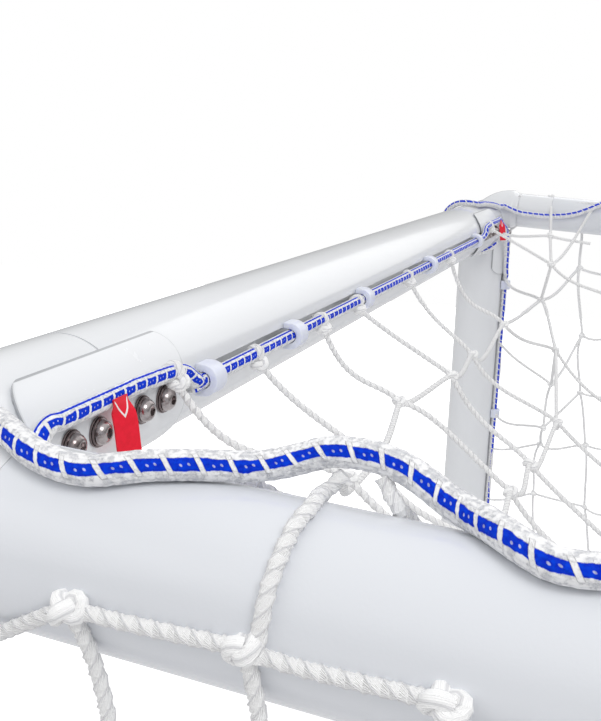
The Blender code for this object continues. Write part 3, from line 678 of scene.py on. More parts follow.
def outward(name: str, surface: Surface) -> bpy.types.Mesh:
    """A mesh of the surface whose faces are turned to point outwards.

    Args:
        name: The mesh's name.
        surface: A closed surface.

    Returns:
        The mesh.
    """
    mesh = surface.mesh(name)
    bm = bmesh.new()
    bm.from_mesh(mesh)
    bmesh.ops.recalc_face_normals(bm, faces=bm.faces)
    bm.to_mesh(mesh)
    bm.free()
    return mesh


def unit(vectors: Array) -> Array:
    """The vectors scaled to length 1."""
    return vectors / np.maximum(np.linalg.norm(vectors, axis=-1, keepdims=True), 1e-12)


def arc(radius: float, start: float, end: float, steps: int, centre: tuple = (0.0, 0.0)) -> Array:
    """Points on an arc: the centre plus the radius at even angles, in radians, from start to end."""
    angle = np.linspace(start, end, steps + 1)
    return np.stack((centre[0] + radius * np.cos(angle), centre[1] + radius * np.sin(angle)), axis=-1)


def lengths(path: Array) -> Array:
    """The distance along a path at each of its points."""
    steps = np.linalg.norm(np.diff(path, axis=0), axis=1)
    return np.concatenate(([0.0], np.cumsum(steps)))


def smooth(points: Array, pitch: float) -> Array:
    """An even reading of a smooth curve through some points.

    Each stretch is a cubic through its two ends, whose slope at each end is half the chord between
    that end's neighbours. The result is read again at even distances.

    Args:
        points: The points that the curve passes.
        pitch: The distance between the points that are wanted.

    Returns:
        The curve's points.
    """
    points = np.asarray(points, float)
    padded = np.concatenate(([2 * points[0] - points[1]], points, [2 * points[-1] - points[-2]]))
    p0, p1, p2, p3 = padded[:-3], padded[1:-2], padded[2:-1], padded[3:]
    t = np.linspace(0.0, 1.0, 24, endpoint=False)[None, :, None]
    p0, p1, p2, p3 = (p[:, None, :] for p in (p0, p1, p2, p3))
    curve = 0.5 * (
        2 * p1 + (p2 - p0) * t + (2 * p0 - 5 * p1 + 4 * p2 - p3) * t**2
        + (3 * p1 - p0 - 3 * p2 + p3) * t**3
    )
    curve = np.concatenate((curve.reshape(-1, points.shape[1]), points[-1:]))
    return evenly(curve, pitch)


def evenly(path: Array, pitch: float) -> Array:
    """A path read again at even distances of about the pitch.

    Args:
        path: The points.
        pitch: The distance that is wanted.

    Returns:
        The new points.
    """
    run = lengths(path)
    count = max(2, int(round(run[-1] / pitch)) + 1)
    stations = np.linspace(0.0, run[-1], count)
    return np.stack([np.interp(stations, run, path[:, axis]) for axis in range(path.shape[1])], axis=-1)


def frames(path: Array, towards: Array) -> tuple[Array, Array]:
    """Two directions square to a path at each point.

    The first is the part of a fixed direction that is square to the path, and the second is the
    cross product of the path's direction and the first.

    Args:
        path: The points.
        towards: The fixed direction, never along the path.

    Returns:
        Both directions.
    """
    tangent = unit(np.gradient(path, axis=0))
    first = unit(towards - (tangent @ towards)[:, None] * tangent)
    return first, np.cross(tangent, first)


def round_tube(path: Array, radius: float | Array, sides: int, towards: Array) -> Surface:
    """A round tube: at each point of the path, a circle in the plane square to it.

    Args:
        path: The axis.
        radius: One radius, or one for each point and side.
        sides: Points round the circle.
        towards: The direction of the first side.

    Returns:
        The closed tube.
    """
    radius = np.broadcast_to(np.asarray(radius, float), (len(path), sides))
    return swept(path, radius, frames(path, towards))


def swept(path: Array, radius: Array, spokes: tuple, turn: Array | float = 0.0) -> Surface:
    """A tube round a path.

    Args:
        path: The axis.
        radius: One for each point and side.
        spokes: Two directions square to the path at each point.
        turn: How far the section is turned about the path at each point, in radians.

    Returns:
        The closed tube.
    """
    first, second = spokes
    sides = radius.shape[1]
    angle = np.arange(sides) * math.tau / sides + np.reshape(turn, (-1, 1))
    rays = np.cos(angle)[..., None] * first[:, None] + np.sin(angle)[..., None] * second[:, None]
    return Surface.tube(path[:, None] + radius[..., None] * rays, lengths(path))


def steady_frames(path: Array, towards: Array) -> tuple[Array, Array]:
    """Two directions square to a path that don't spin about it.

    Each first direction is the one before it, less its part along the path, so it may start out
    from any direction and the path may turn any way.

    Args:
        path: The points.
        towards: The direction that the first one starts from.

    Returns:
        Both directions.
    """
    tangent = unit(np.gradient(path, axis=0))
    first = np.zeros_like(path)
    spoke = towards
    for index, along in enumerate(tangent):
        spoke = unit(spoke - (spoke @ along) * along)
        first[index] = spoke
    return first, np.cross(tangent, first)


def carried(section: Array, path: Array, across: Array) -> Surface:
    """A flat section carried along a plane path with true mitres.

    At a corner the section's first coordinate is stretched along the sum of the two runs' normals
    over one plus their dot product; its second coordinate runs along the fixed direction.

    Args:
        section: The outline's points.
        path: The path's points.
        across: The fixed direction, square to the path's plane.

    Returns:
        The closed solid's surface.
    """
    path = np.asarray(path, float)
    normals = np.cross(across, unit(np.diff(path, axis=0)))
    before = np.concatenate((normals[:1], normals))
    after = np.concatenate((normals, normals[-1:]))
    mitre = (before + after) / (1 + np.sum(before * after, axis=1, keepdims=True))
    rings = path[:, None] + mitre[:, None] * section[None, :, :1] + across * section[None, :, 1:]
    return Surface.tube(rings, lengths(path))


def turned_rings(profile: Array, sides: int) -> Array:
    """A profile of radius and height turned round the local Z axis, as rings of points.

    Args:
        profile: Radius and height of each ring.
        sides: Points round a ring.

    Returns:
        Rings by sides by 3.
    """
    angle = np.arange(sides) * math.tau / sides
    spokes = np.stack((np.cos(angle), np.sin(angle), np.zeros(sides)), axis=-1)
    return profile[:, None, :1] * spokes[None] + profile[:, None, 1:] * UP


def turned(profile: Array, sides: int) -> Surface:
    """The closed surface of a turned profile."""
    return Surface.tube(turned_rings(profile, sides), lengths(profile))


def filleted(points: Array, radius: float, steps: int) -> Array:
    """A path with its inner corners rounded by arcs of one radius.

    Args:
        points: The corners.
        radius: The arcs' radius.
        steps: Steps in each arc.

    Returns:
        The path's points.
    """
    points = np.asarray(points, float)
    path = [points[:1]]
    for before, corner, after in zip(points, points[1:], points[2:]):
        inward = unit(before - corner)
        onward = unit(after - corner)
        half = math.acos(float(inward @ onward)) / 2
        middle = corner + unit(inward + onward) * radius / math.sin(half)
        start = unit(corner + inward * radius / math.tan(half) - middle)
        end = unit(corner + onward * radius / math.tan(half) - middle)
        sweep = math.acos(float(start @ end))
        share = np.linspace(0.0, 1.0, steps + 1)[:, None]
        spoke = (np.sin((1 - share) * sweep) * start + np.sin(share * sweep) * end) / math.sin(sweep)
        path.append(middle + spoke * radius)
    path.append(points[-1:])
    return np.concatenate(path)


def ease(share: Array) -> Array:
    """A smooth step from 0 to 1."""
    share = np.clip(share, 0.0, 1.0)
    return share * share * (3 - 2 * share)


@dataclass(frozen=True)
class Sizes:
    """Sizes of the tubes, plates, clips and ropes, as on the solids of the frame."""

    frame_radius: float = 0.0508
    channel_mouth: float = 0.016
    channel_width: float = 0.024
    channel_lip: float = 0.003
    channel_depth: float = 0.009
    bar_rise: float = 0.036
    bar_slope: float = 0.0444
    top_depth: float = 0.610
    bend_radius: float = 0.150
    ball_radius: float = 0.0395
    stub_length: float = 0.110
    corner_reach: float = 0.249
    post_seam_drop: float = 0.056
    elbow_radius: float = 0.0425
    elbow_bend: float = 0.060
    elbow_foot: float = 0.034
    leg_reach: float = 0.150
    saddle_thickness: float = 0.003
    saddle_half_angle: float = math.radians(55)
    saddle_corner: float = 0.018
    seat_gap: float = 0.0003
    rope_gap: float = 0.0005
    rope_radius: float = 0.006
    twine_radius: float = 0.0024
    seam_rope_angle: float = 24.0
    saddle_rope_angle: float = 71.0


@dataclass(frozen=True)
class Layout:
    """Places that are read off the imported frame."""

    sizes: Sizes
    half_span: float
    post_y: float
    axis_z: float
    rear_y: float
    ground_z: float
    bar_radius: float

    @staticmethod
    def from_frame(sizes: Sizes) -> Layout:
        """Read the posts', crossbar's and rear bar's axes from their boxes.

        Args:
            sizes: The goal's sizes.

        Returns:
            The layout.
        """
        foot_low, foot_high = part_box("foot_right")
        bar_low, bar_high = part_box("crossbar")
        rear_low, rear_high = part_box("rear_ground_bar")
        return Layout(
            sizes,
            half_span=(foot_low.x + foot_high.x) / 2,
            post_y=(foot_low.y + foot_high.y) / 2,
            axis_z=(bar_low.z + bar_high.z) / 2,
            rear_y=(rear_low.y + rear_high.y) / 2,
            ground_z=(rear_low.z + rear_high.z) / 2,
            bar_radius=(rear_high.z - rear_low.z) / 2,
        )

    @property
    def rope_seat(self) -> float:
        """How far the rope's axis lies off a tube."""
        return self.sizes.rope_radius + self.sizes.rope_gap

    @property
    def saddle_top(self) -> float:
        """The saddle plates' outer radius."""
        return self.sizes.frame_radius + self.sizes.seat_gap + self.sizes.saddle_thickness

    def bar_axis(self, side: Side, depth: float) -> Array:
        """A point on a top side bar's axis at a depth behind the post's axis."""
        z = self.axis_z + self.sizes.bar_rise - self.sizes.bar_slope * depth
        return np.array((side.value * self.half_span, self.post_y + depth, z))

    def round_crossbar(self, distance: float, degrees: float, radius: float, side: Side) -> Array:
        """A point round the crossbar, its angle counted from the top towards the rear.

        Args:
            distance: How far inside the post's axis.
            degrees: The angle.
            radius: The distance from the tube's axis.
            side: Which end of the goal.

        Returns:
            The point.
        """
        angle = math.radians(degrees)
        x = side.value * (self.half_span - distance)
        y = self.post_y + radius * math.sin(angle)
        return np.array((x, y, self.axis_z + radius * math.cos(angle)))

    def round_bar(self, depth: float, degrees: float, radius: float, side: Side) -> Array:
        """A point round a top side bar, its angle counted from the top towards the inside.

        Args:
            depth: How far behind the post's axis.
            degrees: The angle.
            radius: The distance from the tube's axis.
            side: Which end of the goal.

        Returns:
            The point.
        """
        angle = math.radians(degrees)
        spoke = np.array((-side.value * math.sin(angle), 0.0, math.cos(angle)))
        return self.bar_axis(side, depth) + radius * spoke

    def rear_corner(self, side: Side) -> Array:
        """Where the stay, the base bar and the rear bar meet."""
        return np.array((side.value * self.half_span, self.rear_y, self.ground_z))

    def along(self, side: Side) -> Array:
        """The top side bar's direction, rearwards."""
        return unit(self.bar_axis(side, 1.0) - self.bar_axis(side, 0.0))

    def down(self, side: Side) -> Array:
        """The back stay's direction, downwards."""
        return unit(self.rear_corner(side) - self.bar_axis(side, self.sizes.top_depth))

    def middle(self, node: str) -> Array:
        """The centre of a node's box."""
        low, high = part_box(node)
        return (np.array(low) + np.array(high)) / 2


class Workshop:
    """Makes pieces, dresses them and hands them to the frame."""

    def __init__(self, frame: dict) -> None:
        """Keep the loaded frame, with no finishes made yet."""
        self.frame = frame
        self.finishes: dict[str, bpy.types.Material] = {}

    def nodes(self, words: str) -> list[str]:
        """The frame's nodes whose names hold some words, in order."""
        return sorted(name for name in self.frame["nodes"] if words in name)

    def dress(self, piece: bpy.types.Object, finish: object) -> None:
        """Give a piece its finish, made on its first use.

        Args:
            piece: The piece.
            finish: What it is dressed in.
        """
        if finish.name not in self.finishes:
            self.finishes[finish.name] = finish.make()
        piece.data.materials.clear()
        piece.data.materials.append(self.finishes[finish.name])

    def piece(
        self, name: str, surface: Surface, finish: object, slot: str, nodes: tuple, body: str = FRAME_BODY
    ) -> bpy.types.Object:
        """Make a piece that stands for some nodes of the frame.

        Args:
            name: The piece's name.
            surface: Its shape, in place.
            finish: What it is dressed in.
            slot: The record's material slot, which is not used.
            nodes: The nodes that it stands for.
            body: The body that it rides on.

        Returns:
            The piece.
        """
        piece = bpy.data.objects.new(name, outward(name, surface))
        bpy.context.scene.collection.objects.link(piece)
        self.dress(piece, finish)
        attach(piece, body)
        if nodes:
            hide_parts(*nodes)
        LOG.info("%s: %d faces", name, len(piece.data.polygons))
        return piece


def soften(piece: bpy.types.Object, width: float, segments: int = 2, angle: float = 40.0) -> None:
    """Round a piece's edges with a Bevel modifier and apply it.

    Args:
        piece: The piece.
        width: The bevel's width.
        segments: Its segments.
        angle: The least angle of an edge that is rounded, in degrees.
    """
    bevel = piece.modifiers.new("soften", "BEVEL")
    bevel.width = width
    bevel.segments = segments
    bevel.limit_method = "ANGLE"
    bevel.angle_limit = math.radians(angle)
    bevel.harden_normals = False
    apply_modifiers(piece)


def apply_modifiers(piece: bpy.types.Object) -> None:
    """Replace a piece's mesh by the one that its modifiers give.

    Args:
        piece: The piece.
    """
    bpy.context.view_layer.update()
    graph = bpy.context.evaluated_depsgraph_get()
    mesh = bpy.data.meshes.new_from_object(piece.evaluated_get(graph))
    piece.modifiers.clear()
    piece.data = mesh
    mesh.shade_smooth()
    mesh.set_sharp_from_angle(angle=SMOOTH_ANGLE)


@dataclass
class FrontFrame:
    """The crossbar, the posts and the welded corner units, with the channel along their rear."""

    shop: Workshop
    place: Layout
    coat: PowderCoat
    steps: int = 112
    sides: int = 96
    bend_steps: int = 28
    ring_pitch: float = 0.003
    neck_run: tuple = (-0.002, 0.016)
    neck_drop: tuple = (-0.001, 0.015)
    neck_steps: int = 12
    groove: float = 0.0008

    def section(self) -> Array:
        """The extrusion's outline: a circle that a T-shaped channel opens at the second axis.

        Returns:
            Its points.
        """
        sizes = self.place.sizes
        half = sizes.channel_mouth / 2
        wide = sizes.channel_width / 2
        lip = sizes.frame_radius - sizes.channel_lip
        floor = lip - sizes.channel_depth
        opening = math.asin(half / sizes.frame_radius)
        outline = arc(sizes.frame_radius, math.pi / 2 - opening, opening - 3 * math.pi / 2, self.steps)
        channel = [(-half, lip), (-wide, lip), (-wide, floor), (wide, floor), (wide, lip), (half, lip)]
        return np.concatenate((outline, channel))

    def build(self) -> None:
        """Make the crossbar, both posts and both corner units."""
        sizes = self.place.sizes
        place = self.place
        section = self.section()
        reach = place.half_span - sizes.corner_reach - sizes.seat_gap - self.groove
        ends = np.array([(x, place.post_y, place.axis_z) for x in (-reach, reach)])
        bar = carried(section, ends, REARWARD)
        self.shop.piece("crossbar_tube", bar, self.coat, "powder_coat", ("crossbar",))
        for side in Side:
            node = f"post_{side.word}"
            top = place.axis_z - sizes.post_seam_drop - sizes.seat_gap
            x = side.value * place.half_span
            ends = np.array([(x, place.post_y, z) for z in (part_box(node)[0].z, top)])
            post = carried(section, ends, REARWARD)
            self.shop.piece(f"post_tube_{side.word}", post, self.coat, "powder_coat", (node,))
            self.corner(side, section)

    def corner(self, side: Side, section: Array) -> None:
        """Make a welded corner unit: mitred tube, elbow, its drawn-in neck and the leg.

        Args:
            side: Which end of the goal.
            section: The extrusion's outline.
        """
        place = self.place
        sizes = place.sizes
        x = side.value * place.half_span
        path = np.array(
            (
                (x - side.value * (sizes.corner_reach - self.groove), place.post_y, place.axis_z),
                (x, place.post_y, place.axis_z),
                (x, place.post_y, place.axis_z - sizes.post_seam_drop),
            )
        )
        mitred = carried(section, path, REARWARD)
        along = place.along(side)
        crossing = place.bar_axis(side, 0.0)
        foot = np.array((x, place.post_y, place.axis_z - sizes.elbow_foot))
        tangent = sizes.elbow_bend * math.tan((math.pi / 2 + math.atan(sizes.bar_slope)) / 2)
        leg_start = crossing + along * tangent
        corners = np.array((foot, crossing, leg_start + along * 0.001))
        route = evenly(filleted(corners, sizes.elbow_bend, self.bend_steps), self.ring_pitch)
        elbow = round_tube(route, sizes.elbow_radius, self.sides, ALONG)
        neck = self.neck(leg_start, along)
        leg_ends = np.array((leg_start, place.bar_axis(side, sizes.leg_reach)))
        leg = round_tube(leg_ends, place.bar_radius, self.sides, ALONG)
        shape = Surface.joined([mitred, elbow, neck, leg])
        node = f"corner_{side.word}"
        self.shop.piece(f"corner_unit_{side.word}", shape, self.coat, "powder_coat", (node,))

    def neck(self, start: Array, along: Array) -> Surface:
        """The elbow's drawn-in end: its radius eases down to the bar's from a start over a length.

        Args:
            start: Where the elbow ends.
            along: The bar's direction.

        Returns:
            The neck.
        """
        sizes = self.place.sizes
        run = np.linspace(*self.neck_run, self.neck_steps + 1)
        drop = ease((run - self.neck_drop[0]) / self.neck_drop[1])
        radius = sizes.elbow_radius + (self.place.bar_radius - sizes.elbow_radius) * drop
        radii = np.tile(radius[:, None], (1, self.sides))
        return round_tube(start + run[:, None] * along, radii, self.sides, ALONG)


@dataclass
class RearFrame:
    """The side bars with their stays, the base bars and the rear ground bar."""

    shop: Workshop
    place: Layout
    coat: PowderCoat
    sides: int = 96
    bend_steps: int = 40
    ball_sides: int = 64
    ball_rows: int = 40
    pole_gap: float = 0.02

    def build(self) -> None:
        """Make every tube behind the front frame."""
        place = self.place
        sizes = place.sizes
        reach = place.half_span - sizes.stub_length - sizes.seat_gap
        ends = np.array(((-reach, place.rear_y, place.ground_z), (reach, place.rear_y, place.ground_z)))
        bar = round_tube(ends, place.bar_radius, self.sides, UP)
        self.shop.piece("rear_tube", bar, self.coat, "powder_coat", ("rear_ground_bar",))
        for side in Side:
            along = place.along(side)
            start = place.bar_axis(side, sizes.leg_reach) + along * sizes.seat_gap
            end = place.rear_corner(side) - place.down(side) * (sizes.stub_length + sizes.seat_gap)
            axis = np.array((start, place.bar_axis(side, sizes.top_depth), end))
            route = filleted(axis, sizes.bend_radius, self.bend_steps)
            stay = round_tube(route, place.bar_radius, self.sides, ALONG)
            node = f"side_bar_{side.word}"
            self.shop.piece(f"side_tube_{side.word}", stay, self.coat, "powder_coat", (node,))
            self.base(side)

    def base(self, side: Side) -> None:
        """Make a base bar with its corner ball and the two stubs.

        Args:
            side: Which end of the goal.
        """
        place = self.place
        sizes = place.sizes
        corner = place.rear_corner(side)
        front = np.array((corner[0], place.post_y + sizes.frame_radius + sizes.seat_gap, place.ground_z))
        parts = [round_tube(np.array((front, corner)), place.bar_radius, self.sides, UP)]
        for direction, towards in ((-place.down(side), ALONG), (-side.value * ALONG, UP)):
            end = corner + direction * sizes.stub_length
            parts.append(round_tube(np.array((corner, end)), place.bar_radius, self.sides, towards))
        turn = np.linspace(self.pole_gap, math.pi - self.pole_gap, self.ball_rows)
        ball = np.stack((sizes.ball_radius * np.sin(turn), -sizes.ball_radius * np.cos(turn)), axis=-1)
        parts.append(turned(ball, self.ball_sides).moved(np.eye(3), corner))
        base = Surface.joined(parts)
        node = f"base_bar_{side.word}"
        self.shop.piece(f"base_tube_{side.word}", base, self.coat, "powder_coat", (node,))


@dataclass
class Splices:
    """The saddle plates and the screws that clamp them."""

    shop: Workshop
    place: Layout
    coat: PowderCoat
    steel: Polished
    head_radius: float = 0.0084
    head_height: float = 0.006
    head_edge: float = 0.0005
    washer_radius: float = 0.0104
    washer_thickness: float = 0.0032
    washer_edge: float = 0.0003
    washer_step: float = 0.0008
    washer_rim: float = 0.0012
    socket_radius: float = 0.0032
    socket_depth: float = 0.0033
    shank_radius: float = 0.0039
    screw_sides: int = 48
    post_plate_half: float = 0.049
    plate_trim: float = 0.0005
    plate_edge: float = 0.0005
    column_pitch: float = 0.002
    undercut: float = 0.0013
    side_rim: tuple = (0.90, 0.05)
    end_rim: tuple = (0.93, 0.03)

    def build(self) -> None:
        """Make four saddles and sixteen screws."""
        for rail in Rail:
            for side in Side:
                self.saddle(rail, side)
                for number in range(1, 5):
                    self.screw(f"{rail.value}_screw_{side.word}_{number}")

    def saddle(self, rail: Rail, side: Side) -> None:
        """Make one saddle plate.

        The plate is a grid of angle round the tube by distance along it. The distance's limits
        follow the rounded corners, and a post's plate also ends where it meets the crossbar. Its
        inner face lifts off the tube at the rim: a smooth step of the share of the half width and
        half length, from each rim's first value over its second.

        Args:
            rail: The kind of tube that it clamps.
            side: Which end of the goal.
        """
        place = self.place
        sizes = place.sizes
        node = f"{rail.value}_saddle_{side.word}"
        low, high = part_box(node)
        length_axis, side_axis = rail.axes
        if rail is Rail.CROSSBAR:
            half_length = (high.x - low.x) / 2
            centre = np.array(((low.x + high.x) / 2, place.post_y, place.axis_z))
        else:
            half_length = self.post_plate_half
            centre = np.array((side.value * place.half_span, place.post_y, low.z + half_length))
        half_width = place.saddle_top * math.sin(sizes.saddle_half_angle) - self.plate_trim
        share = np.sin(np.linspace(-1.0, 1.0, 61) * math.pi / 2)
        width = share * half_width
        past = np.maximum(np.abs(width) - (half_width - sizes.saddle_corner), 0.0)
        limit = half_length - sizes.saddle_corner + np.sqrt(sizes.saddle_corner**2 - past**2 * 0.9999)
        upper = limit
        angle = np.arcsin(width / place.saddle_top)
        if rail is Rail.POST:
            reach = sizes.frame_radius + sizes.seat_gap
            rise = place.axis_z - centre[2]
            inside = reach**2 - (place.saddle_top * np.cos(angle)) ** 2
            upper = np.minimum(limit, np.where(inside > 0, rise - np.sqrt(np.maximum(inside, 0.0)), limit))
        rows = np.linspace(0.0, 1.0, 49)[:, None]
        run = -limit + (upper + limit) * rows
        sides = ease((np.abs(share)[None, :] - self.side_rim[0]) / self.side_rim[1])
        ends = ease((np.abs(2 * rows - 1) - self.end_rim[0]) / self.end_rim[1])
        lift = self.undercut * np.maximum(sides, ends)
        spokes = np.sin(angle)[:, None] * side_axis + np.cos(angle)[:, None] * REARWARD
        layers = []
        for radius in (np.full_like(lift, place.saddle_top), sizes.frame_radius + sizes.seat_gap + lift):
            layers.append(centre + radius[..., None] * spokes[None] + run[..., None] * length_axis)
        outer, inner = layers
        around = np.arange(2 * outer.shape[1] + 1) * self.column_pitch
        plate = Surface.slab(outer, inner, around, rows[:, 0])
        piece = self.shop.piece(f"{rail.value}_plate_{side.word}", plate, self.coat, "plate_coat", (node,))
        soften(piece, self.plate_edge)

    def screw(self, node: str) -> None:
        """Make one domed socket screw on its washers, with its axis along the rear direction.

        Args:
            node: The node that it stands for.
        """
        low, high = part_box(node)
        centre = self.place.middle(node)
        seat = high.y - self.head_height
        height = self.washer_thickness
        edge = self.washer_edge
        profile = [(self.shank_radius, low.y - seat), (self.shank_radius, -height)]
        for rim, base, top in ((0.0, -height, -height * 0.52), (self.washer_step, -height * 0.48, 0.0)):
            wide = self.washer_radius - rim
            profile += [(wide - edge, base), (wide, base + edge), (wide, top - edge)]
            profile += [(wide - edge, top), (wide - self.washer_rim, top)]
        profile += [(self.head_radius - self.head_edge * 0.8, 0.0), (self.head_radius, self.head_edge)]
        dome = np.linspace(0.0, 1.0, 10)[1:]
        radius = self.head_radius - (self.head_radius - self.socket_radius * 1.12) * dome**1.6
        rise = self.head_edge + (self.head_height - self.head_edge) * np.sin(dome * math.pi / 2)
        profile += list(zip(radius, rise))
        angle = np.arange(self.screw_sides) * math.tau / self.screw_sides
        outside = turned_rings(np.array(profile), self.screw_sides)
        hexagon = self.socket_radius / np.cos((angle + math.pi / 6) % (math.pi / 3) - math.pi / 6)
        flat = np.stack((np.cos(angle), np.sin(angle), np.zeros_like(angle)), axis=-1)
        lip = self.head_height - 0.0002
        floor = self.head_height - self.socket_depth
        socket = [hexagon[:, None] * flat + lip * UP, hexagon[:, None] * flat + floor * UP]
        socket.append(0.3 * hexagon[:, None] * flat + (floor - 0.0005) * UP)
        rings = np.concatenate((outside, np.stack(socket)))
        shape = Surface.tube(rings, np.arange(len(rings)) * 0.001)
        facing = np.array(((1.0, 0.0, 0.0), (0.0, 0.0, 1.0), (0.0, -1.0, 0.0)))
        shape = shape.moved(facing @ self.spin(node), np.array((centre[0], seat, centre[2])))
        self.shop.piece(f"{node}_steel", shape, self.steel, "stainless", (node,))

    def spin(self, node: str) -> Array:
        """A turn about the screw's own axis, so that the sockets of one plate stand differently.

        Args:
            node: The node that the screw stands for.

        Returns:
            A 3 by 3 matrix.
        """
        turn = math.tau * (sum(node.encode()) % 17) / 17
        return np.array(
            ((math.cos(turn), -math.sin(turn), 0.0), (math.sin(turn), math.cos(turn), 0.0), (0.0, 0.0, 1.0))
        )


@dataclass
class Clips:
    """The net clips: nylon arches over the rope, hooked behind the channel's lips."""

    shop: Workshop
    place: Layout
    nylon: Moulded
    wall: float = 0.0062
    length: float = 0.020
    prong: float = 0.0022
    hook: float = 0.0035
    hook_thickness: float = 0.002

    def section(self) -> Array:
        """The clip's outline, from its arch down both prongs to the hooks.

        Returns:
            Its points, to the side of the rope's axis and rearward of it.
        """
        sizes = self.place.sizes
        seat = self.place.rope_seat
        bore = seat + sizes.seat_gap
        outer = bore + self.wall
        shoulder = sizes.seat_gap - seat
        prong = sizes.channel_mouth / 2 - sizes.seat_gap
        top = -seat - sizes.channel_lip - sizes.seat_gap
        low = top - self.hook_thickness
        arch = arc(outer, math.pi / 2, 0.0, 20)
        steps = [(outer, shoulder), (prong, shoulder), (prong, top), (prong + self.hook, top)]
        steps += [(prong + self.hook, low), (prong - self.prong, low), (prong - self.prong, shoulder)]
        half = np.concatenate((arch, steps, arc(bore, 0.0, math.pi / 2, 16)))
        mirrored = half[1:-1][::-1] * (-1.0, 1.0)
        return np.concatenate((half, mirrored))

    def build(self) -> None:
        """Make a clip at the place of each clip node."""
        section = self.section()
        for node in self.shop.nodes("_clip_"):
            middle = self.place.middle(node)
            y = self.place.post_y + self.place.sizes.frame_radius + self.place.rope_seat
            centre = np.array((middle[0], y, middle[2]))
            run, side_axis = Rail(node.split("_")[0]).axes
            rings = np.stack(
                [
                    centre + section[:, :1] * side_axis + section[:, 1:] * REARWARD + run * offset
                    for offset in (-self.length / 2, self.length / 2)
                ]
            )
            shape = Surface.tube(rings, np.array((0.0, self.length)))
            piece = self.shop.piece(f"{node}_nylon", shape, self.nylon, "clip_nylon", (node,), f"{node}_body")
            soften(piece, 0.0011, 3, 50.0)


